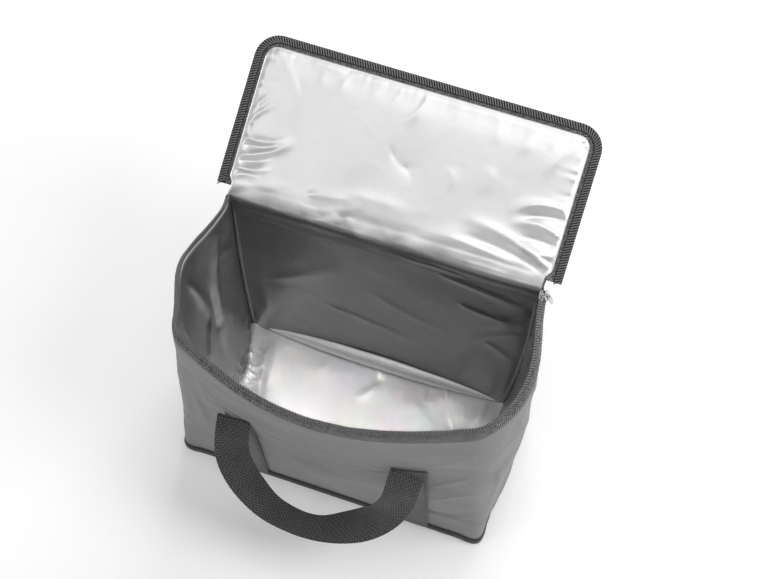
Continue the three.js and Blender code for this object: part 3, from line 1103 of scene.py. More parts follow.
@dataclass
class OuterShell:
    """The grey fabric round the bag, its black base and the bindings."""

    step: float = 2.4
    base_seam: float = 11.6
    seam_proud: float = 1.8
    arm: float = 9.0
    creases: tuple[Fold, ...] = (
        Fold((92, 112), (186, 100), -2.6, 7, -48, 0.25),
        Fold((128, 140), (180, 186), 1.6, 5, 3, 0.15),
        Fold((127, 98), (182, 142), 1.8, 6, 4, 0.15),
        Fold((127, 52), (172, 50), 1.2, 5, 3, 0.15),
        Fold((190, 205), (187, 74), -1.8, 4, 3, 0.3),
        Fold((200, 180), (196, 60), 2.0, 8, -4, 0.3),
        Fold((86, 178), (-10, 196), 1.3, 7, 5, 0.15),
        Fold((86, 160), (10, 150), 1.0, 6, -4, 0.15),
        Fold((-76, 176), (-20, 168), 1.1, 7, -4, 0.15),
        Fold((-147, 222), (-134, 140), 1.5, 6, 3, 0.2),
        Fold((-161, 188), (-148, 66), 1.8, 7, 3, 0.2),
        Fold((-116, 182), (-150, 240), 1.4, 7, 4, 0.2),
        Fold((120, 196), (175, 246), 1.2, 7, -4, 0.2),
        Fold((205, 26), (262, 120), 2.4, 9, 8, 0.2),
        Fold((222, 250), (300, 150), 2.2, 10, -10, 0.25),
        Fold((366, 40), (300, 96), 2.2, 9, 6, 0.2),
        Fold((250, 262), (345, 226), 1.8, 9, -8, 0.25),
        Fold((366, 150), (290, 190), 1.8, 9, 7, 0.2),
        Fold((-205, 30), (-268, 130), 2.4, 9, -8, 0.2),
        Fold((-224, 250), (-300, 160), 2.2, 10, 10, 0.25),
        Fold((-366, 44), (-296, 90), 2.2, 9, -6, 0.2),
        Fold((-366, 170), (-280, 200), 1.8, 9, -7, 0.2),
    )
    back_creases: tuple[Fold, ...] = (
        Fold((-178, 30), (-110, 120), 2.2, 9, 8, 0.2),
        Fold((178, 26), (120, 110), 2.2, 9, -8, 0.2),
        Fold((-86, 184), (-10, 216), 1.8, 8, -8, 0.15),
        Fold((96, 184), (20, 214), 1.8, 8, 8, 0.15),
        Fold((-84, 120), (-10, 96), 1.5, 8, 6, 0.15),
        Fold((92, 110), (24, 80), 1.5, 8, -6, 0.15),
        Fold((-178, 262), (-120, 196), 2.0, 9, -6, 0.2),
        Fold((178, 258), (134, 190), 2.0, 9, 6, 0.2),
        Fold((-40, 20), (30, 60), 1.4, 10, 6, 0.25),
    )
    pieces: list[bpy.types.Object] = field(default_factory=list)

    def relief(self, u: Array, z: Array) -> Array:
        """Raise the fabric in folds and soft waves, with a gathered top edge.

        Args:
            u: Run round the bag.
            z: Height.

        Returns:
            How far the fabric stands out, in millimetres.
        """
        x = u - FORM.run / 2
        away = smooth((z - 16) / 40)
        waves = 1.7 * ripple(x, z * 1.6, 60, 5) + 0.5 * ripple(x * 0.5, z * 2.2, 26, 6)
        gather = 0.5 * wander(u, 5.0, 8) * smooth((z - 244) / 30)
        pull = sum(2.2 * np.exp(-((x - c) / 26) ** 2 - ((z - 186) / 30) ** 2) for c in (-96, 106))
        out = away * (lifted(self.creases, x, z) + waves + pull) * smooth((277 - z) / 14) + gather
        return self.held_off_foam(out)

    def held_off_foam(self, out: Array) -> Array:
        """Return the relief with its deep hollows made shallow, so that it clears the foam."""
        return np.maximum(out, -1.2 + 0.2 * out)

    def build(self) -> None:
        """Make the fabric walls, the base sheet and its binding, and the rear bindings."""
        u, z = grid(evenly(3, FORM.run - 3, self.step), evenly(1.3, FORM.wall_top, self.step))
        out = self.relief(u, z)
        wrap = GREY_CLOTH.sheet("front_and_side_fabric", FORM.wall(u, z, out),
                                FORM.wall(u, z, out - FABRIC), np.stack([u, z], -1))
        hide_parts("outer_wrap_panel")
        self.pieces.append(wrap)

        half = FORM.width / 2 - 3
        x, z = grid(evenly(-half, half, self.step), evenly(1.3, 286, self.step))
        out = 1.9 * ripple(x, z * 1.5, 60, 15) + 0.4 * ripple(x, z, 20, 16)
        out = (out + lifted(self.back_creases, x, z)) * smooth((z - 16) / 40)
        out = self.held_off_foam(out) * smooth((half - np.abs(x)) / 12) * smooth((286 - z) / 14)
        back = GREY_CLOTH.sheet("back_fabric", FORM.back(x, z, out),
                                FORM.back(x, z, out - FABRIC), np.stack([x, z], -1))
        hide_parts("outer_back_panel")
        self.pieces.append(back)
        self.base()
        for side in Side:
            self.binding(side)

    def base(self) -> None:
        """Make the base sheet, a flat rounded plate, and the binding that turns up round it."""
        a, b = grid(np.linspace(-1, 1, 90), np.linspace(-1, 1, 60))
        y = b * FORM.depth / 2
        dip = np.clip(FORM.corner - (y + FORM.depth / 2), 0, FORM.corner)
        half = FORM.width / 2 - FORM.corner + np.sqrt(FORM.corner**2 - dip**2)
        x = a * half
        top = np.stack([x, y, 0 * x + 1.0 + 0.15 * ripple(x, y, 24, 3)], -1)
        sheet = BLACK_CLOTH.sheet("base_sheet", top, np.stack([x, y, 0 * x], -1),
                                  np.stack([x, y], -1))
        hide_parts("base_panel")

        t = np.linspace(0, 1, 15)
        proud = 0.35 + 1.5 * np.sin(math.pi * t) ** 0.35
        height = 0.25 + 13.9 * t
        u, k = grid(evenly(0, FORM.run, 3.0), np.arange(len(t)))
        sides = FORM.wall(u, height[k], proud[k] + 0.25 * wander(u, 9, 4) * np.sin(math.pi * t[k]))
        lined = FORM.wall(u, height[k], 0 * u + 0.3)
        work = Patchwork()
        work.shell(sides, lined, np.stack([u, height[k]], -1))
        x, k = grid(evenly(-FORM.width / 2 - 1, FORM.width / 2 + 1, 3.0), np.arange(len(t)))
        work.shell(FORM.back(x, height[k], proud[k]), FORM.back(x, height[k], 0 * x + 0.3),
                   np.stack([x, height[k]], -1))
        band = BLACK_CLOTH.on(work.piece("base_binding"))
        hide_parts("base_band")
        self.pieces += [sheet, band]

        work = Patchwork()
        u = evenly(2, FORM.run - 2, 2.0)
        z = 0 * u + self.base_seam
        stitches(work, FORM.wall(u, z, 0 * u + self.seam_proud), FORM.outward_at(u, z))
        x = evenly(-184, 184, 2.0)
        path = FORM.back(x, 0 * x + self.base_seam, 0 * x + self.seam_proud)
        stitches(work, path, np.tile([0.0, 1.0, 0.0], (len(x), 1)))
        self.pieces.append(THREAD.on(work.piece("base_stitching")))

    def binding(self, side: Side) -> None:
        """Fold a strip of binding round one rear corner seam: a soft quarter turn, two arms.

        Args:
            side: Which rear corner.
        """
        s = np.linspace(-1, 1, 17)
        bend = smooth((s + 0.35) / 0.7)
        dent = 1.6 * bend * (1 - bend) * 2
        corner_x, corner_y = FORM.width / 2 + 0.9, FORM.depth / 2 + 0.9
        x = corner_x - np.maximum(0, s - 0.1) / 0.9 * self.arm - dent
        y = corner_y - np.maximum(0, -s - 0.1) / 0.9 * self.arm - dent
        z = evenly(14.2, 279, 4.0)
        i, h = grid(np.arange(len(s)), z)
        ruck = 0.3 * wander(h, 7, 30 + side.value)
        outer = FORM.slack(side.value * (x[i] + ruck), y[i] + ruck, h)
        inner = FORM.slack(side.value * (x[i] - 0.8), y[i] - 0.8, h)
        strip = BLACK_CLOTH.sheet(f"corner_binding_{side.word}", outer, inner,
                                  np.stack([s[i] * self.arm, h], -1))
        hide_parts(f"rear_seam_binding_{side.word}")
        self.pieces.append(strip)


@dataclass
class Insulation:
    """The foam sheets in the walls and the base."""

    pieces: list[bpy.types.Object] = field(default_factory=list)

    def sheet(self, name: str, node: str, outer: Array, inner: Array) -> None:
        """Close a foam sheet between two faces.

        Args:
            name: The piece's name.
            node: The CAD node it stands for.
            outer: Points of its outer face.
            inner: Points of its inner face.
        """
        foam = FOAM.sheet(name, outer, inner)
        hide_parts(node)
        self.pieces.append(foam)

    def build(self) -> None:
        """Make the five foam sheets."""
        runs = {
            "left": (7, FORM.side + FORM.arc - 0.3),
            "front": (FORM.side + FORM.arc + 0.3, FORM.run - FORM.side - FORM.arc - 0.3),
            "right": (FORM.run - FORM.side - FORM.arc + 0.3, FORM.run - 7),
        }
        near, far = FOAM_FACES
        for word, (start, end) in runs.items():
            u, z = grid(evenly(start, end, 5), evenly(5.8, 277.5, 6))
            self.sheet(f"foam_sheet_{word}", f"foam_{word}",
                       FORM.wall(u, z, 0 * u + near), FORM.wall(u, z, 0 * u + far))
        x, z = grid(evenly(-181, 181, 6), evenly(5.8, 286, 6))
        self.sheet("foam_sheet_back", "foam_back",
                   FORM.back(x, z, 0 * x + near), FORM.back(x, z, 0 * x + far))
        x, y = grid(evenly(-181, 181, 6), evenly(-89, 92, 6))
        self.sheet("foam_sheet_base", "foam_base",
                   np.stack([x, y, 0 * x + 5.2], -1), np.stack([x, y, 0 * x + 1.4], -1))


@dataclass
class Lining:
    """The silver film inside the bag: one wrap, a back and a floor; the wrap and the back are
    painted dark as painted shade, the floor bright as painted light.
    """

    step: float = 2.3
    left_pull: float = 26.0
    right_pull: float = 22.0
    # Place and radius of the dark rolls laid in the rear inner corners as painted shade.
    shade_roll_place: float = 7.4
    shade_roll_radius: float = 1.1
    pieces: list[bpy.types.Object] = field(default_factory=list)
    side_folds: tuple[Fold, ...] = (
        Fold((40, 262), (72, 96), 3.2, 8, 6, 0.2),
        Fold((72, 190), (96, 60), -2.6, 8, -6, 0.2),
        Fold((110, 262), (84, 150), 3.0, 8, -4, 0.25),
        Fold((84, 150), (134, 84), 3.4, 6, 4, 0.2),
        Fold((16, 200), (60, 232), 2.0, 8, 4, 0.25),
        Fold((150, 236), (128, 120), 2.6, 9, 5, 0.25),
        Fold((640, 230), (690, 90), 3.5, 10, 8, 0.25),
        Fold((600, 180), (650, 60), 4.0, 10, -8, 0.25),
        Fold((700, 262), (722, 120), 3.0, 8, 4, 0.25),
    )
    back_folds: tuple[Fold, ...] = (
        Fold((-150, 132), (-40, 222), 2.6, 12, -6, 0.25),
        Fold((-80, 118), (60, 84), 3.2, 8, 5, 0.2),
        Fold((-150, 40), (-150, 220), 2.5, 12, 5, 0.3),
        Fold((60, 262), (176, 236), 3.0, 8, 4, 0.2),
        Fold((90, 214), (170, 206), 3.2, 7, -5, 0.2),
        Fold((176, 246), (120, 170), 2.8, 7, 5, 0.2),
        Fold((128, 146), (168, 110), 2.6, 7, 4, 0.2),
        Fold((20, 272), (120, 268), 3.0, 8, 6, 0.25),
        Fold((176, 190), (100, 120), 2.4, 8, -6, 0.25),
        Fold((-20, 180), (100, 130), 2.0, 10, -5, 0.3),
    )
    floor_folds: tuple[Fold, ...] = (
        Fold((70, 92), (112, 26), -4.5, 9, -9, 0.12),
        Fold((86, 92), (126, 20), 3.2, 8, -9, 0.12),
        Fold((-12, 90), (6, 66), 2.0, 6, 3, 0.1),
        Fold((6, 66), (-14, 30), 1.6, 7, 3, 0.3),
        Fold((-60, 84), (-80, 40), 1.4, 12, 5, 0.3),
        Fold((30, -20), (-60, -60), -1.6, 16, 8, 0.3),
        Fold((140, 88), (130, 40), 1.8, 7, 3, 0.3),
    )

    def lowness(self, z: Array) -> Array:
        """Return 1 at the floor, falling to 0 near the mouth as a power of the height."""
        return (1 - np.clip((z - 6) / 262, 0, 1)) ** 2.2

    def left_reach(self, y: Array) -> Array:
        """Return how far the left film hangs inward at the floor: least at the back."""
        return self.left_pull * (0.3 + 0.7 * smooth((92 - y) / 80))

    def drift(self, x_side: Array, y: Array, z: Array) -> Array:
        """Return how far a side's film hangs inward: most at the floor and away from the back."""
        return self.lowness(z) * np.where(x_side < 0, self.left_reach(y), self.right_pull)

    def build(self) -> None:
        """Make the wrap, the back and the floor."""
        face, back_face = FILM_FACES[1], FILM_FACES[0]
        start = 5.4
        rows = evenly(6.8, FORM.wall_top, self.step)
        u, z = grid(evenly(start, FORM.run - start, self.step), rows)
        _, y = FORM.plan(u, 0 * u)
        side = u - FORM.run / 2
        on_side = smooth((np.abs(side) - FORM.across / 2) / FORM.arc)
        inward = self.drift(side, y, z) * on_side
        edge = smooth((277 - z) / 16) * smooth((np.minimum(u, FORM.run - u) - start) / 14)
        foot = smooth((46 - z) / 40) * smooth((150 - u) / 60)
        soft = 1.3 * crumple(u, z, 74, 40) + 0.35 * crumple(u, z, 30, 44)
        inward = inward + edge * (1.5 + lifted(self.side_folds, u, z) + soft
                                  + foot * 4.0 * crumple(u, z, 13, 47))
        inward = np.maximum(inward, 0.0) + 0.2
        # Painted shade: the wrap wears the film painted darker than the lid's.
        wrap = LINING_FILM_PAINTED_SHADE.sheet("lining_front_and_sides", FORM.wall(u, z, face - inward),
                                 FORM.wall(u, z, back_face - inward * 0.98),
                                 np.stack([u, z], -1))
        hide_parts("foil_front_and_sides")

        x, z = grid(evenly(-179, 179, self.step), evenly(6.8, 284, self.step))
        reach = np.where(x < 0, self.left_pull * 0.3, self.right_pull)
        x_in = x - np.sign(x) * reach * (np.abs(x) / 179) ** 3 * self.lowness(z)
        cove = 2.0 * np.clip(1 - (z - 6) / 20, 0, 1) ** 1.5
        soft = 0.8 * ripple(x, z * 1.4, 90, 51) + 0.16 * crumple(x, z, 34, 53)
        edge = smooth((180 - np.abs(x)) / 12) * smooth((286 - z) / 12)
        inward = edge * (0.55 * lifted(self.back_folds, x, z) + soft + 1.0) + cove
        inward = np.maximum(inward, 0.2)
        # Painted shade: the back wears the film painted darker still.
        back = BACK_FILM_PAINTED_SHADE.sheet("lining_back", FORM.back(x_in, z, face - inward),
                               FORM.back(x_in, z, back_face - inward), np.stack([x, z], -1))
        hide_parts("foil_back")

        a, b = grid(np.linspace(0, 1, 150), np.linspace(0, 1, 84))
        y = -86.5 + 174.5 * b
        left = -(181 - 0.92 * self.left_reach(y))
        right = 181 - 0.9 * self.right_pull
        round_off = 10 * (1 - np.sqrt(1 - np.clip(1 - (y + 86.5) / 12, 0, 1) ** 2))
        x = left + round_off + (right - left - 2 * round_off) * a
        swell = 0.7 * ripple(x, y, 90, 61) + 0.12 * crumple(x, y, 36, 63)
        from_left = a * 330
        hem = np.minimum(np.minimum(a, 1 - a) * 330, np.minimum(b, 1 - b) * 174)
        roll = 4.5 * np.exp(-((from_left - 5) / 5) ** 2)
        nearer = smooth((76 - y) / 34)
        crush = np.exp(-((from_left - 10) / 12) ** 2) * (2.6 + 5.0 * crumple(x, y, 9, 64))
        crush = crush + 4.5 * np.exp(-((from_left - 30 + 6 * np.sin(y / 22)) / 6) ** 2)
        folds = 1.7 * lifted(self.floor_folds, x, y)
        height = 7.2 + smooth(hem / 12) * (swell + folds + 1.6) + roll
        height = height + nearer * np.maximum(crush, 0)
        height = np.maximum(height, 6.4)
        # Painted light: the floor wears the film painted bright.
        floor = FLOOR_FILM_PAINTED_BRIGHT.sheet("lining_floor", np.stack([x, y, height], -1),
                                 np.stack([x, y, height - FILM], -1), np.stack([x, y], -1))
        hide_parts("foil_floor")
        self.pieces += [wrap, back, floor, self.foot_fold()]
        self.pieces += [self.corner_shade_roll(side) for side in Side]

    def corner_shade_roll(self, side: Side) -> bpy.types.Object:
        """Make a thin upright dark roll where the wrap meets the back film, standing in for the
        crease's shade as painted shade.

        Args:
            side: Which rear inner corner.

        Returns:
            The new piece.
        """
        z = evenly(12, 277, 3.0)
        on_right = side is Side.RIGHT
        pull = self.right_pull if on_right else 0.3 * self.left_pull
        u = 0 * z + (FORM.run - self.shade_roll_place if on_right else self.shade_roll_place)
        path = FORM.wall(u, z, FILM_FACES[1] - 0.5 - pull * self.lowness(z))
        turn = circle(WIRE_SIDES)
        ring = self.shade_roll_radius * np.stack([np.cos(turn), np.sin(turn), 0 * turn], -1)
        work = Patchwork()
        work.sweep(path[:, None, :] + ring)
        # Painted shade: a roll of black cloth stands where the crease has only shade.
        return BLACK_CLOTH.on(work.piece(f"inner_corner_shade_roll_{side.word}"))

    def foot_fold(self) -> bpy.types.Object:
        """Make the slack of the back film that lies rolled along the floor.

        Its cross-section is half an oval, from the wall over to the floor and tucked under. Its
        size falls away towards both ends.

        Returns:
            The new piece.
        """
        t = np.linspace(0, 1, 22)
        x, k = grid(evenly(-152, 150, 2.0), np.arange(len(t)))
        swell = np.clip(np.sin(math.pi * (x + 152) / 302), 0, 1) ** 0.7
        turn = math.pi * (0.02 + 1.08 * t[k])
        high = 1.5 + 20.0 * swell + 0.4 * wander(x, 30, 67)
        deep = 1.0 + 11.5 * swell + 0.3 * wander(x, 24, 68)
        y = 88.0 - deep * np.clip(np.sin(turn * 0.88), 0, 1)
        z = 9.4 + high * (0.5 + 0.5 * np.cos(turn * 0.92)) + 0.3 * ripple(x, turn * 12, 26, 69)
        # Painted light: the slack of the back film wears the floor's film, painted bright.
        fold = FLOOR_FILM_PAINTED_BRIGHT.sheet("lining_foot_fold", np.stack([x, y, z], -1),
                                np.stack([x, y + 0.4, z - 0.3], -1), np.stack([x, t[k] * 24], -1))
        return fold


@dataclass
class RimZip:
    """The zip half sewn round the mouth: tape, coil and stitching, leaning inward."""

    lean: float = math.radians(28)
    knee: float = 278.6
    rise: float = 8.0
    lap: float = 5.4
    start: float = 6.0
    half: Pair = (2.1, 0.95)
    wire: float = 0.8
    pitch: float = 3.3
    slant: float = 0.5
    pieces: list[bpy.types.Object] = field(default_factory=list)

    def lean_in(self, z: Array) -> Array:
        """Return how far outward the tape is at a height: it leans in above its knee."""
        return -np.maximum(0, z - self.knee) * math.tan(self.lean)

    def build(self) -> None:
        """Make the tape, the coil above it and the stitches at its foot."""
        t = np.linspace(0, 1, 13)
        height = self.knee - self.lap + (self.lap + self.rise - 0.6) * t
        puff = 1.0 + 0.5 * np.sin(math.pi * np.clip((t - 0.05) / 0.8, 0, 1))
        u, k = grid(evenly(self.start, FORM.run - self.start, 2.0), np.arange(len(t)))
        ruffle = 0.22 * wander(u, 4.0, 70) * (1 - t[k]) + 0.35 * wander(u, 16, 71)
        out = self.lean_in(height[k]) + puff[k] + ruffle
        z = height[k] + 0.7 * wander(u, 4.0, 72) * (1 - t[k]) ** 2
        tape = RIM_TAPE.sheet("mouth_zip_tape", FORM.wall(u, z, out), FORM.wall(u, z, out - 0.8),
                              np.stack([u, height[k] - height[0]], -1))
        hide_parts("rim_zip_tape")

        u = evenly(self.start, FORM.run - self.start, 1.0)
        middle_z = self.knee + self.rise + 2.5
        out = self.lean_in(np.full(len(u), middle_z)) + 0.9 + 0.35 * wander(u, 16, 71)
        path = FORM.wall(u, 0 * u + middle_z, out)
        above = FORM.wall(u, 0 * u + middle_z + 1, out - math.tan(self.lean))
        across = unit(above - path)
        ahead, _ = travel(path)
        proud = unit(np.cross(ahead, across))
        wound = coil_on(path, across, proud, self.half, self.wire, self.pitch, self.slant)
        coil = RIM_COIL.on(wound.piece("mouth_zip_coil"))
        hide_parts("rim_zip_coil")

        t = np.linspace(0, 1, 7)
        height = self.knee + 6.6 + 5.6 * t
        u, k = grid(evenly(self.start, FORM.run - self.start, 2.5), np.arange(len(t)))
        out = self.lean_in(height[k]) + 0.5 + 0.35 * wander(u, 16, 71)
        core = BLACK_CLOTH.sheet("mouth_zip_core", FORM.wall(u, height[k], out),
                                 FORM.wall(u, height[k], out - 0.5), np.stack([u, height[k]], -1))
        self.pieces.append(core)

        u = evenly(self.start + 2, FORM.run - self.start - 2, 2.0)
        work = Patchwork()
        for z, gap in ((self.knee - 3.9, 1.35), (self.knee + self.rise * 0.72, 1.5)):
            level = 0 * u + z
            seam_line = FORM.wall(u, level, self.lean_in(level) + gap)
            stitches(work, seam_line, FORM.outward_at(u, level), 3.4, 2.4, 0.3)
        seam = THREAD.on(work.piece("mouth_stitching"))
        self.pieces += [tape, coil, seam]


@dataclass
class Handles:
    """The webbing handles: straps sewn up the walls, and loops that fold over and droop."""

    width: float = 38.0
    thick: float = 1.8
    top: float = 190.0
    centres: Pair = (-96.0, 106.0)
    rear_shift: float = -19.0
    route: tuple[Triple, ...] = (
        (-96, -119.4, 186.5), (-96, -120.6, 190.8), (-95.2, -125.5, 186), (-91, -145, 154),
        (-67, -161, 115), (-31, -170, 87), (14, -169, 78), (54, -159, 91), (84, -150, 119),
        (101, -140, 154), (105.5, -125, 186), (106, -119.6, 190.6), (106, -117.6, 186.5),
    )
    edges: tuple[Triple, ...] = (
        (-1, 0, 0), (-1, 0, 0), (-0.98, -0.15, 0), (-0.82, -0.55, 0),
        (-0.4, -0.91, 0.05), (0, -0.95, 0.3), (0.18, -0.92, 0.32), (0.5, -0.84, -0.1),
        (0.84, -0.36, -0.38), (0.95, 0.05, -0.3), (1, 0, -0.05), (1, 0, 0), (1, 0, 0),
    )
    pieces: list[bpy.types.Object] = field(default_factory=list)

    def section(self) -> Array:
        """Draw the ribbon's cross-section, a flat oval.

        Returns:
            Its points, as (across, through).
        """
        turn = circle(30)
        across, through_it = eased(np.cos(turn), 0.3), eased(np.sin(turn), 0.6)
        return np.stack([across * self.width / 2, through_it * self.thick / 2], -1)

    def strap(self, name: str, node: str, centre: float, behind: bool) -> None:
        """Sew a strap up a wall, from the base binding to the handle's top.

        Args:
            name: The piece's name.
            node: The CAD node it stands for.
            centre: Place of its middle line across the bag.
            behind: Whether it is on the back wall.
        """
        z = evenly(9.0, self.top - 0.5, 2.5)
        section = self.section()
        i, h = grid(np.arange(len(section)), z)
        across, through_it = section[i, 0], section[i, 1]
        ruck = 0.25 * wander(h, 14, int(centre) % 97)
        out = 2.3 + through_it + ruck
        if behind:
            rings = FORM.back(-centre + across, h, out)
        else:
            rings = FORM.wall(FORM.u_at(centre) + across, h, out)
        work = Patchwork()
        work.sweep(np.swapaxes(rings, 0, 1), np.swapaxes(np.stack([across, h], -1), 0, 1))
        strap = FLAT_STRAP.on(work.piece(name))
        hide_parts(node)
        self.pieces.append(strap)

    def sewn_boxes(self, name: str, behind: bool) -> None:
        """Stitch each strap down: two long rows at its edges and a crossed box near its top.

        Args:
            name: The piece's name.
            behind: Whether the straps are on the back wall.
        """
        work = Patchwork()
        inset = self.width / 2 - 3.0
        low, high = self.top - 38.0, self.top - 9.0
        for centre in self.centres:
            lines = [
                ((-inset, 16), (-inset, high)), ((inset, 16), (inset, high)),
                ((-inset, low), (inset, low)), ((-inset, high), (inset, high)),
                ((-inset, low), (inset, high)), ((-inset, high), (inset, low)),
            ]
            for (a0, z0), (a1, z1) in lines:
                n = max(6, int(math.hypot(a1 - a0, z1 - z0) / 2))
                a, z = np.linspace(a0, a1, n), np.linspace(z0, z1, n)
                if behind:
                    path = FORM.back(-centre + a, z, 0 * a + 3.3)
                    proud = np.tile([0.0, 1.0, 0.0], (n, 1))
                else:
                    path = FORM.wall(FORM.u_at(centre) + a, z, 0 * a + 3.3)
                    proud = FORM.outward_at(FORM.u_at(centre) + a, z)
                stitches(work, path, proud, 3.2, 2.3, 0.28)
        self.pieces.append(THREAD.on(work.piece(name)))

    def loop(self, behind: bool) -> tuple[Array, Array]:
        """Carry the oval along the loop's route, turned by the route's edges.

        Args:
            behind: Whether this is the rear loop.

        Returns:
            The cross-sections, and their surface coordinates.
        """
        steps = 150
        path = path_through(self.route, steps)
        share = np.linspace(0, 1, steps)
        known = np.asarray(self.route, float)
        run = np.concatenate([[0], np.cumsum(np.linalg.norm(np.diff(known, axis=0), axis=1))])
        marks = run / run[-1]
        side = np.stack([through(share, marks, [e[k] for e in self.edges]) for k in range(3)], -1)
        ahead, length = travel(path)
        side = unit(side - (side * ahead).sum(1)[:, None] * ahead)
        face = np.cross(side, ahead)
        section = self.section()
        curl = 1.6 * (section[:, 0] / (self.width / 2)) ** 2
        middle = smooth(np.minimum(share, 1 - share) / 0.12)
        through_it = section[None, :, 1] + (curl[None] - 0.8) * middle[:, None]
        sway = 0.5 * wander(length, 22, 91)[:, None]
        rings = (path[:, None] + section[None, :, :1] * side[:, None]
                 + (through_it + sway * middle[:, None])[..., None] * face[:, None])
        weave = np.stack(np.broadcast_arrays(section[None, :, 0], length[:, None]), -1)
        if behind:
            rings = rings * np.array([-1.0, -1.0, 1.0]) + np.array([0.0, self.rear_shift, 0.0])
        return rings, weave

    def build(self) -> None:
        """Make the straps, their stitching and the two loops."""
        words = ("left", "right")
        for i, centre in enumerate(self.centres):
            self.strap(f"front_strap_{words[i]}", f"front_webbing_{words[i]}", centre, False)
            self.strap(f"rear_strap_{words[1 - i]}", f"rear_webbing_{words[1 - i]}", centre, True)
        self.sewn_boxes("front_strap_stitching", False)
        self.sewn_boxes("rear_strap_stitching", True)
        for word, behind in (("front", False), ("rear", True)):
            work = Patchwork()
            work.sweep(*self.loop(behind))
            loop = STRAP.on(work.piece(f"{word}_carry_loop"))
            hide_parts(f"{word}_handle_loop")
            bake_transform(loop)


@dataclass(frozen=True)
class LidForm:
    """The lid as a flat rounded panel on its hinge, in millimetres.

    A lid point is (x, reach, depth): reach is the distance from the hinge towards the front
    edge, and depth the distance from the hinge's plane towards the lid's outside.
    """

    hinge_y: float = 98.0
    hinge_z: float = 290.0
    opened: float = math.radians(148.6)
    half: float = 186.0
    reach: float = 167.0
    start: float = 6.0
    radius: float = 12.0

    @property
    def side(self) -> float:
        """Return the straight run of a side."""
        return self.reach - self.start - self.radius

    @property
    def run(self) -> float:
        """Return the run of the lid's edge from one hinge end to the other."""
        return 2 * self.side + math.pi * self.radius + 2 * (self.half - self.radius)

    def place(self, x: Array, reach: Array, depth: Array) -> Array:
        """Turn lid points to where the open lid is, after a soft droop of its front edge.

        Args:
            x: Place across the lid.
            reach: Distance from the hinge line.
            depth: Distance from the hinge's plane towards the lid's outside.

        Returns:
            The placed points, shape (..., 3).
        """
        x, reach, depth = np.broadcast_arrays(x, reach, depth)
        c, s = math.cos(self.opened), math.sin(self.opened)
        points = np.stack([x, self.hinge_y - reach * c + depth * s,
                           self.hinge_z + reach * s + depth * c], -1)
        return points + self.droop(x, reach)

    def droop(self, x: Array, reach: Array) -> Array:
        """Let the far edge sink, most at the right corner.

        Args:
            x: Place across the lid.
            reach: Distance from the hinge line.

        Returns:
            The shift of each point.
        """
        far = np.clip(reach / self.reach, 0, 1.2) ** 2
        side = np.clip(x / self.half, -1, 1)
        sunk = far * (1.8 * (1 + side) + 1.5 * np.cos(math.pi * side / 2))
        back = -1.2 * far * (1 + side)
        c, s = math.cos(self.opened), math.sin(self.opened)
        return np.stack([0 * sunk, sunk * s - back * c, sunk * c + back * s], -1)

    def edge(self, u: Array, outward: Array) -> tuple[Array, Array]:
        """Follow the lid's edge: straight runs and quarter turns.

        Args:
            u: Run along the edge.
            outward: Distance outward from it.

        Returns:
            x and reach of the points.
        """
        arc = self.radius * math.pi / 2
        across = 2 * (self.half - self.radius)
        mirrored = np.abs(u - self.run / 2)
        turn = np.clip((mirrored - across / 2) / arc, 0, 1) * (math.pi / 2)
        straight = np.minimum(mirrored, across / 2)
        back = np.maximum(mirrored - across / 2 - arc, 0)
        out = self.radius + outward
        x = straight + out * np.sin(turn)
        reach = self.reach - self.radius + out * np.cos(turn) - back
        return np.sign(u - self.run / 2 + 1e-9) * x, reach

    def panel(self, step: float, inset: float, start: float) -> tuple[Array, Array]:
        """Lay a grid over the lid, whose front corners are rounded.

        Args:
            step: Distance between points.
            inset: Distance of the outline inside the lid's own.
            start: Distance of the first row from the hinge line.

        Returns:
            x and reach of the points.
        """
        rows = evenly(start, self.reach - inset, step)
        a, reach = grid(np.linspace(-1, 1, int(2 * self.half / step)), rows)
        radius = self.radius - inset
        dip = np.clip(reach - (self.reach - inset - radius), 0, radius)
        half = self.half - inset - radius + np.sqrt(np.maximum(radius**2 - dip**2, 0))
        return a * half, reach


LID = LidForm()


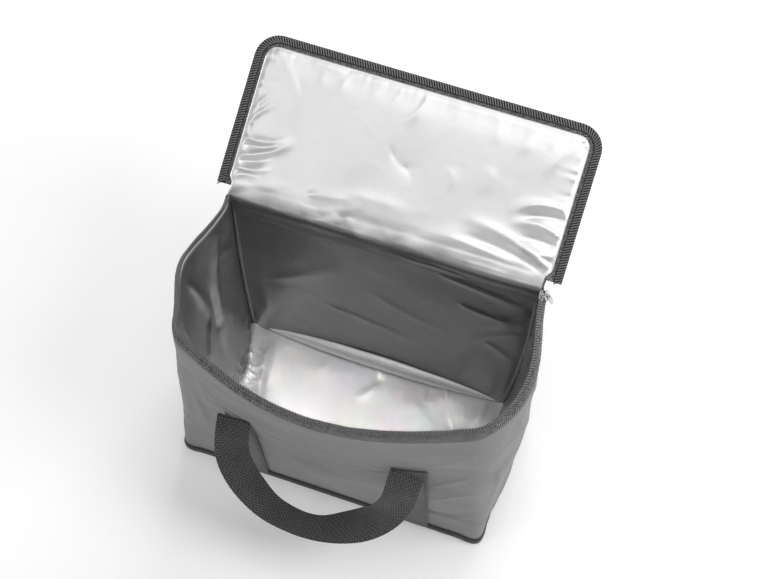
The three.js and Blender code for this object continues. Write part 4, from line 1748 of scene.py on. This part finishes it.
@dataclass
class Lid:
    """The lid's foam, outer fabric, zip tape, coil and stitching, and the relief of its film."""

    half: Pair = (3.8, 1.05)
    wire: float = 0.72
    pitch: float = 3.0
    slant: float = 1.9
    folds: tuple[Fold, ...] = (
        Fold((-187, 76), (-160, 108), 2.2, 4, 3, 0.08),
        Fold((-187, 88), (-168, 118), 1.8, 3.5, 2, 0.08),
        Fold((-187, 64), (-128, 76), 3.4, 5, -6, 0.08),
        Fold((-187, 55), (-140, 66), -2.4, 4, -4, 0.08),
        Fold((-186, 42), (-124, 74), 3.2, 5, -5, 0.08),
        Fold((-186, 36), (-146, 48), -2.2, 3.5, -3, 0.08),
        Fold((-186, 28), (-140, 38), 2.6, 4.5, -3, 0.08),
        Fold((-186, 18), (-150, 24), -1.8, 4, 2, 0.08),
        Fold((-180, 165), (-134, 92), 1.1, 12, 12, 0.2),
        Fold((-150, 150), (-120, 60), -0.9, 9, 8, 0.2),
        Fold((-120, 166), (-118, 134), 0.5, 5, 1, 0.1),
        Fold((-86, 166), (-96, 134), 0.7, 5, -2, 0.1),
        Fold((-50, 166), (-56, 140), 0.5, 5, -2, 0.1),
        Fold((-28, 166), (-38, 138), 0.7, 4, 2, 0.1),
        Fold((2, 165), (-18, 122), 1.2, 5, 4, 0.1),
        Fold((44, 166), (36, 144), 0.5, 5, 1, 0.1),
        Fold((84, 166), (90, 130), 0.7, 6, 1, 0.1),
        Fold((126, 166), (114, 126), 0.9, 7, 3, 0.1),
        Fold((158, 166), (150, 140), 1.0, 5, -3, 0.1),
        Fold((182, 160), (150, 110), 1.6, 7, -5, 0.12),
        Fold((-22, 98), (24, 86), -1.5, 7.5, -11, 0.25),
        Fold((-4, 82), (14, 66), -0.9, 5, 3, 0.3),
        Fold((46, 96), (56, 66), 0.9, 6, 3, 0.3),
        Fold((92, 110), (88, 70), 0.8, 9, 3, 0.3),
        Fold((187, 84), (122, 66), 3.6, 6, -7, 0.08),
        Fold((187, 74), (134, 58), -3.0, 5, -5, 0.08),
        Fold((187, 54), (126, 54), 3.8, 6, -7, 0.08),
        Fold((187, 42), (140, 40), -2.6, 5, -4, 0.08),
        Fold((186, 32), (140, 40), 2.8, 5, 4, 0.08),
        Fold((186, 18), (76, 46), 3.6, 6, -7, 0.1),
        Fold((180, 12), (70, 26), -3.0, 6, -6, 0.1),
        Fold((150, 10), (40, 18), 2.4, 6, -4, 0.1),
        Fold((-188, 10), (-110, 8), 3.0, 6, 3, 0.08),
        Fold((-100, 20), (-40, 26), 2.0, 6, 3, 0.2),
        Fold((-60, 34), (30, 30), 1.8, 9, 4, 0.3),
    )
    pieces: list[bpy.types.Object] = field(default_factory=list)

    def relief(self, x: Array, reach: Array) -> Array:
        """Raise the film in folds, puckers at the hem and broad softness.

        Args:
            x: Place across the lid.
            reach: Distance from the hinge line.

        Returns:
            How far the film stands up, in millimetres.
        """
        from_edge = np.minimum(LID.half - np.abs(x), LID.reach - reach)
        near_side = LID.half - np.abs(x) < LID.reach - reach
        along = np.where(near_side, reach, x)
        lively = np.where(near_side, 0.8, 0.4)
        hem = 0.6 + lively * (0.8 * wander(along, 5.0, 101) + wander(along, 13.0, 104))
        hem = hem * np.exp(-np.clip(from_edge - 2, 0, None) / 8.0) * smooth((from_edge + 3) / 5)
        broad = 1.2 * ripple(x, reach, 70, 102) + 0.12 * crumple(x, reach, 40, 103)
        return (0.72 * lifted(self.folds, x, reach) + broad) * smooth((from_edge + 2) / 9) + hem

    def build(self) -> None:
        """Make every piece of the lid."""
        x, reach = LID.panel(5.0, 4, 10.0)
        core = FOAM.sheet("lid_foam_sheet", LID.place(x, reach, 0 * x + 8.4),
                          LID.place(x, reach, 0 * x + 11.2))
        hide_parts("lid_foam")

        x, reach = LID.panel(3.0, -1.5, 8.0)
        from_edge = np.minimum(LID.half + 1.5 - np.abs(x), LID.reach + 1.5 - reach)
        depth = 9.8 + 3.4 * smooth(from_edge / 12) + 0.7 * ripple(x, reach, 48, 110)
        depth = depth + 0.3 * wander(x + reach, 7, 111) * np.exp(-from_edge / 9)
        cover = GREY_CLOTH.sheet("lid_cover", LID.place(x, reach, depth),
                                 LID.place(x, reach, depth - FABRIC), np.stack([x, reach], -1))
        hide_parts("lid_outer_panel")
        self.zip_half()
        self.pieces += [core, cover]

    def zip_half(self) -> None:
        """Make the tape round the lid's edge, the coil outside it and the stitching."""
        t = np.linspace(0, 1, 13)
        out = -2.6 + 10.4 * t
        depth = 6.3 + 2.4 * smooth(t * 1.3) - 0.4 * np.sin(math.pi * t)
        u, k = grid(evenly(0, LID.run, 2.0), np.arange(len(t)))
        ruffle = (0.9 * wander(u, 4.2, 120) + 0.7 * wander(u, 15.0, 122)) * (1 - t[k]) ** 1.5
        x, reach = LID.edge(u, out[k] + ruffle)
        deep = depth[k] + 0.35 * wander(u, 18, 121)
        tape = TAPE.sheet("lid_edge_tape", LID.place(x, reach, deep),
                          LID.place(x, reach, deep + 0.8), np.stack([u, out[k] + 2.6], -1))
        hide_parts("lid_zip_tape")

        u = evenly(0, LID.run, 1.0)
        sway = 0.35 * wander(u, 18, 121)
        x, reach = LID.edge(u, 0 * u + 12.0)
        path = LID.place(x, reach, 8.0 + sway)
        x, reach = LID.edge(u, 0 * u + 13.0)
        across = unit(LID.place(x, reach, 8.1 + sway) - path)
        ahead, _ = travel(path)
        proud = unit(np.cross(across, ahead))
        wound = coil_on(path, across, proud, self.half, self.wire, self.pitch, self.slant)
        coil = COIL.on(wound.piece("lid_edge_coil"))
        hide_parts("lid_zip_coil")

        out = np.linspace(7.0, 16.4, 8)
        u, k = grid(evenly(0, LID.run, 2.5), np.arange(len(out)))
        x, reach = LID.edge(u, out[k])
        deep = 8.0 + 0.35 * wander(u, 18, 121)
        core = BLACK_CLOTH.sheet("lid_zip_core", LID.place(x, reach, deep),
                                 LID.place(x, reach, deep + 0.5), np.stack([u, out[k]], -1))
        self.pieces.append(core)

        work = Patchwork()
        u = evenly(3, LID.run - 3, 2.0)
        x, reach = LID.edge(u, 0 * u + 5.6)
        path = LID.place(x, reach, 0 * u + 7.15)
        up = unit(LID.place(x, reach, 0 * u + 6.15) - path)
        stitches(work, path, up, 3.4, 2.4, 0.3)
        self.pieces += [tape, coil, THREAD.on(work.piece("lid_stitching"))]


@dataclass
class RearFold:
    """The soft fold between the back wall and the lid: film inside, fabric outside."""

    marks: tuple[Triple, ...] = (
        (-30, 89.8, 262), (-20, 90.2, 272), (-11, 91.3, 280.6), (-3, 95, 287.3), (3.5, 101, 289.6),
        (10, 108.6, 291.4), (16, 114.1, 294.3), (24, 120.9, 298.5), (170, 245.56, 374.56),
    )
    film_step: float = 1.5
    cloth_path: tuple[Pair, ...] = (
        (99.2, 270), (99.3, 277), (100.2, 281.5), (103, 283.6), (107.5, 282.4), (112.5, 283.2),
        (118, 286.2), (124, 289.8),
    )
    pieces: list[bpy.types.Object] = field(default_factory=list)

    def strip(self, path: tuple[Pair, ...], half: float,
              swell: Callable[[Array, Array], Array], thick: float) -> Patchwork:
        """Draw a strip across the bag, lifted along its path's normal.

        Args:
            path: The path in the (y, z) plane.
            half: Half width of the strip.
            swell: Gives the lift at (x, run).
            thick: Thickness.

        Returns:
            The closed strip.
        """
        line = path_through(path, 44)
        ahead, run = travel(line)
        normal = np.stack([-ahead[:, 1], ahead[:, 0]], -1)
        x, k = grid(evenly(-half, half, 1.6), np.arange(len(line)))
        lift = swell(x, run[k])
        y, z = line[k, 0] + normal[k, 0] * lift, line[k, 1] + normal[k, 1] * lift
        below = np.stack([x, y - normal[k, 0] * thick, z - normal[k, 1] * thick], -1)
        work = Patchwork()
        work.shell(np.stack([x, y, z], -1), below, np.stack([x, run[k]], -1))
        return work

    def gathers(self, x: Array, s: Array) -> Array:
        """Pleat the film across the fold, strongest left of the middle.

        Args:
            x: Place across the bag.
            s: Run from the hinge, below zero on the back wall.

        Returns:
            The height of the gathers.
        """
        waist = np.exp(-(((s - 3) / 15) ** 2))
        strong = 0.15 + 1.0 * np.exp(-(((x + 50) / 58) ** 2)) + 0.4 * smooth((np.abs(x) - 150) / 30)
        pleats = 0.5 * wander(x + 1.1 * s, 9.0, 131) + 1.5 * wander(x - 1.6 * s, 19.0, 132)
        belly = 3.5 * np.exp(-(((x + 70) / 55) ** 2)) + 5.5 * np.exp(-(((x - 115) / 62) ** 2))
        soft = 1.2 * ripple(x, s, 40, 133) * smooth((s + 24) / 12) * smooth((40 - s) / 16)
        return waist * strong * pleats * 1.1 + belly * np.exp(-(((s + 5) / 8) ** 2)) + soft

    def film(self, lid: Lid) -> None:
        """Make the film of the lid, which runs on over the fold and down the back.

        A row of it is at s from the hinge, below zero on the back wall. The rows follow a soft
        path in the (y, z) plane, and each point is lifted along the path's normal.

        Args:
            lid: The lid, whose folds the film goes on with.
        """
        known = np.asarray(self.marks)
        rows = evenly(known[0, 0], known[-1, 0], self.film_step)
        a, s = grid(np.linspace(-1, 1, 246), rows)
        radius = LID.radius + 3
        dip = np.clip(s - (LID.reach + 3 - radius), 0, radius)
        half = 184 + 5 * smooth((s - 8) / 10) - radius + np.sqrt(np.maximum(radius**2 - dip**2, 0))
        x = a * half
        y = through(rows, known[:, 0], known[:, 1])
        z = through(rows, known[:, 0], known[:, 2])
        normal = unit(np.stack([-np.gradient(z), np.gradient(y)], -1))
        from_edge = np.minimum(LID.half - np.abs(x), LID.reach - s)
        plump = 1.4 * smooth(from_edge / 30) - 1.3 * (1 - smooth((from_edge + 3) / 7))
        lift = (smooth((s - 6) / 16) * (plump + lid.relief(x, s)) + self.gathers(x, s))
        lift = lift * smooth((s + 30) / 10)

        def lifted_by(extra: float) -> Array:
            """Return the film's points, lifted by its relief and a little more."""
            move = lift + extra
            return np.stack([x, y + normal[:, 0] * move, z + normal[:, 1] * move], -1) + LID.droop(
                x, np.maximum(s, 0))

        # The film is painted bright as painted light on the lid and fades to painted shade down the
        # back wall.
        film = LID_FILM_PAINTED_BRIGHT.sheet("lid_lining", lifted_by(0.0), lifted_by(-0.5), np.stack([x, s], -1))
        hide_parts("lid_foil", "lid_fold")
        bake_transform(film)

    def rumples(self, x: Array, run: Array) -> Array:
        """Return the fabric's rumples across the fold."""
        bend = np.exp(-(((run - 16) / 9) ** 2))
        return 0.8 * wander(x, 9, 135) * bend + 0.2 * ripple(x, run, 20, 136)

    def build(self, lid: Lid) -> None:
        """Make the film and the cloth; they bend between the body and the lid.

        Args:
            lid: The lid, whose folds the film goes on with.
        """
        self.film(lid)
        cloth = self.strip(self.cloth_path, 185, self.rumples, FABRIC)
        outer = GREY_CLOTH.on(cloth.piece("rear_fold_cloth"))
        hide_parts("lid_fold")
        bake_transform(outer)


@dataclass
class ZipPull:
    """The metal slider on the mouth's zip and the tab that hangs from it."""

    origin: Triple = (188.884, 86.290, 289.1)
    yaw: float = math.radians(6.838)
    lean: float = math.radians(-28)
    pivot: Pair = (5.4, 0.3)
    tilt: float = math.radians(-22)

    def turned(self, points: Array, lean: float) -> Array:
        """Turn points about the slider's length.

        Args:
            points: Points in the slider's own frame.
            lean: Angle of the turn, in radians.

        Returns:
            The turned points.
        """
        c, s = math.cos(lean), math.sin(lean)
        x = points[..., 0] * c + points[..., 2] * s
        z = -points[..., 0] * s + points[..., 2] * c
        return np.stack([x, points[..., 1], z], -1)

    def placed(self, points: Array) -> Array:
        """Bring points from the slider's own frame to the bag's.

        Args:
            points: Points in the slider's own frame.

        Returns:
            The points in the bag's frame.
        """
        c, s = math.cos(self.yaw), math.sin(self.yaw)
        x = points[..., 0] * c - points[..., 1] * s
        y = points[..., 0] * s + points[..., 1] * c
        return np.stack([x, y, points[..., 2]], -1) + np.array(self.origin)

    def plate(self, work: Patchwork, outline: Array, low: float, high: float, ease: float,
              shape: Callable[[Array], Array]) -> None:
        """Add a plate with eased edges.

        Args:
            work: Where the plate goes.
            outline: The outline's (along, across) points.
            low: Height of the plate's underside.
            high: Height of its top.
            ease: Rounding of its edges.
            shape: Turns (along, across, height) into the place of a point.
        """
        middle = outline.mean(axis=0)
        spread = outline - middle
        reach = np.linalg.norm(spread, axis=1).mean()
        turn = np.linspace(0, math.pi / 2, 5)
        shrink = ease / reach
        rims = [(1 - shrink * (1 - math.sin(a)), low + ease * (1 - math.cos(a))) for a in turn]
        rims += [(1 - shrink * (1 - math.cos(a)), high - ease * (1 - math.sin(a))) for a in turn]
        rings = np.stack([np.concatenate([middle + spread * k, np.full((len(outline), 1), h)], -1)
                          for k, h in rims])
        work.sweep(shape(rings))

    def build(self) -> None:
        """Make the slider and its tab."""
        t = circle(40)
        along = 6.4 * eased(np.sin(t), 0.7)
        across = (4.4 - 0.09 * along * np.abs(along) / 2) * eased(np.cos(t), 0.6)
        shield = np.stack([along, across], -1)

        def upright(points: Array) -> Array:
            """Stand a plate (along, height of zip, depth) on the zip's two faces."""
            return self.placed(self.turned(
                np.stack([points[..., 2], points[..., 0], points[..., 1]], -1), self.lean))

        work = Patchwork()
        self.plate(work, shield, 2.4, 4.0, 0.5, upright)
        self.plate(work, shield, -4.0, -2.4, 0.5, upright)
        a = circle(16)
        post = np.stack([-2.2 + 1.6 * np.cos(a), 3.2 + 1.0 * np.sin(a)], -1)
        self.plate(work, post, -2.6, 2.6, 0.2, upright)
        arch = np.linspace(0, math.pi, 18)
        line = np.stack([3.6 + 3.6 * np.sin(arch), 0 * arch, 2.9 * np.cos(arch)], -1)
        ring = circle(10)
        ahead, _ = travel(line)
        out = np.cross(ahead, np.array([0.0, 1.0, 0.0]))
        rings = (line[:, None] + 0.62 * np.cos(ring)[None, :, None] * out[:, None]
                 + 1.0 * np.sin(ring)[None, :, None] * np.array([0.0, 1.0, 0.0]))
        work.sweep(self.placed(self.turned(rings, self.lean)))
        body = METAL.on(work.piece("slider_shell"))
        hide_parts("zip_slider")
        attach(body, "slider")

        pivot = self.turned(np.array([[self.pivot[0], 0, self.pivot[1]]]), self.lean)[0]
        steps = circle(56)
        lobe = eased(np.sin(steps), 0.75)
        wide = 3.4 * eased(np.cos(steps), 0.7)
        outer = np.stack([-7.4 + 8.4 * lobe, wide * (1 - 0.1 * lobe)], -1)
        inner = np.stack([-3.0 + 2.5 * lobe, wide * 0.5], -1)
        depth = np.array([-0.55, -0.35, 0.35, 0.55])
        ease = np.array([0.25, 0.0, 0.0, 0.25])
        centre = outer.mean(axis=0)
        hole = inner.mean(axis=0)
        level = np.ones((len(steps), 1))
        loops = [np.concatenate([centre + (outer - centre) * (1 - e / 6), level * d], -1)
                 for d, e in zip(depth, ease)]
        loops += [np.concatenate([hole + (inner - hole) * (1 + e / 2), level * d], -1)
                  for d, e in zip(depth[::-1], ease[::-1])]
        rings = np.stack(loops)
        points = np.stack([rings[..., 2], rings[..., 1], rings[..., 0]], -1)
        swung = self.placed(self.turned(points, self.tilt) + pivot)
        work = Patchwork()
        net = work.add(swung)
        work.skin(net, round_first=True, round_second=True)
        tab = METAL.on(work.piece("slider_tab"))
        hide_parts("zip_puller")
        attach(tab, "puller")


# ---------------------------------------------------------------- the studio
@dataclass(frozen=True)
class Studio:
    """The camera, the soft lights and the pale floor."""

    eye: Triple = (0.33202, -0.79424, 1.78173)
    back: Triple = (0.1764, -0.4785, 0.8602)
    azimuth: float = math.radians(20.23)
    roll: float = math.radians(-0.44)
    lens: float = 74.86
    aim: Triple = (0, 0, 0.2)
    floor_half: float = 6000.0
    ring_foot: float = 3400.0
    ring_swell: float = 900.0
    ring_rise: float = 4200.0
    lamps: tuple[tuple[str, Triple, Pair, float], ...] = (
        ("top_light", (0, 0, 2.4), (1.6, 1.6), 12.0),
        ("high_back_light", (0, 1.2, 2.2), (1.6, 1.2), 3.0),
        ("back_light", (0, 2.2, 1.3), (1.6, 1.0), 33.0),
        ("front_light", (0, -2.3, 1.0), (1.6, 1.0), 3.4),
        ("left_light", (-2.3, -0.3, 0.9), (1.2, 1.0), 3.0),
        ("high_right_light", (1.6, 0, 1.9), (1.2, 1.2), 24.0),
        ("high_left_light", (-1.3, -1.3, 1.9), (1.2, 1.2), 8.6),
    )

    def camera(self) -> None:
        """Stand the camera above the bag's front right."""
        data = bpy.data.cameras.new("camera")
        data.lens = self.lens
        data.sensor_width = 36.0
        data.clip_start = 0.05
        back = unit(np.array(self.back))
        right = np.array([math.cos(self.azimuth), math.sin(self.azimuth), 0.0])
        up = np.cross(back, right)
        c, s = math.cos(self.roll), math.sin(self.roll)
        right, up = c * right + s * up, c * up - s * right
        turned = Matrix(np.stack([right, up, back], -1).tolist()).to_4x4()
        camera = bpy.data.objects.new("camera", data)
        camera.matrix_world = Matrix.Translation(self.eye) @ turned
        bpy.context.scene.collection.objects.link(camera)
        bpy.context.scene.camera = camera

    def backdrop(self) -> None:
        """Stand a pale round wall behind everything, which only the camera sees."""
        turn, k = grid(np.linspace(0, 2 * math.pi, 97), np.arange(9))
        rise = 90.0 * k / 8
        reach = self.ring_foot + self.ring_swell * np.sin(np.radians(rise))
        height = self.ring_rise * (1 - np.cos(np.radians(rise))) - 10
        ring = np.stack([np.cos(turn), np.sin(turn), 0 * turn], -1)
        inner = ring * reach[..., None] + np.stack([0 * turn, 0 * turn, height], -1)
        work = Patchwork()
        work.shell(inner, inner + ring * 20)
        wall = work.piece("studio_backdrop")
        wall.data.materials.append(BACKDROP.nodes(Net(BACKDROP.name)))
        for way in ("diffuse", "glossy", "transmission", "shadow"):
            setattr(wall, f"visible_{way}", False)

    def softbox(self, name: str, place: Triple, aim: Triple, size: Pair, power: float,
                spread: float = 180.0) -> None:
        """Hang an even rectangular light that faces its aim, its beam as wide as its spread.

        Args:
            name: The light's name.
            place: Where it hangs, in metres.
            aim: The point it faces.
            size: Width and depth, in metres.
            power: Power in watts.
            spread: Width of its beam, as an angle.
        """
        data = bpy.data.lights.new(name, "AREA")
        data.shape = "RECTANGLE"
        data.size, data.size_y = size
        data.energy = power
        data.spread = math.radians(spread)
        lamp = bpy.data.objects.new(name, data)
        back = unit(np.array(place) - np.array(aim))
        right = unit(np.cross(np.array([0.02, 1.0, 0.1]), back))
        up = np.cross(back, right)
        turned = Matrix(np.stack([right, up, back], -1).tolist()).to_4x4()
        lamp.matrix_world = Matrix.Translation(place) @ turned
        bpy.context.scene.collection.objects.link(lamp)

    def build(self) -> None:
        """Set up the floor, the lights and the surroundings."""
        self.camera()
        marks = np.linspace(-self.floor_half, self.floor_half, 9)
        x, y = grid(marks, marks)
        work = Patchwork()
        work.shell(np.stack([x, y, 0 * x - 0.02], -1), np.stack([x, y, 0 * x - 20], -1))
        floor = work.piece("studio_floor")
        floor.data.materials.append(PALE_FLOOR.nodes(Net(PALE_FLOOR.name)))
        self.backdrop()
        for name, place, size, power in self.lamps:
            self.softbox(name, place, self.aim, size, power)
        self.softbox("mouth_light", (0, -0.03, 2.4), (0, -0.005, 0), (0.26, 0.10), 0.05, 3.0)
        world = bpy.data.worlds.new("studio")
        world.use_nodes = True
        world.node_tree.nodes["Background"].inputs[0].default_value = (1.0, 1.0, 1.0, 1.0)
        world.node_tree.nodes["Background"].inputs[1].default_value = 0.13
        bpy.context.scene.world = world
        bpy.context.scene.view_settings.view_transform = "Standard"


def main() -> None:
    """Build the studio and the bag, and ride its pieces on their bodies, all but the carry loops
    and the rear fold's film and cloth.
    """
    logging.basicConfig(level=logging.INFO, format="%(message)s")
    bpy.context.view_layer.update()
    Studio().build()
    lid = Lid()
    parts = {
        "bag_body": (OuterShell(), Insulation(), Lining(), RimZip(), Handles()),
        "lid": (lid,),
    }
    for body, builders in parts.items():
        for builder in builders:
            builder.build()
            for piece in builder.pieces:
                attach(piece, body)
                LOG.info("%s rides on %s with %d faces", piece.name, body, len(piece.data.polygons))
    RearFold().build(lid)
    ZipPull().build()


if __name__ == "__main__":
    main()
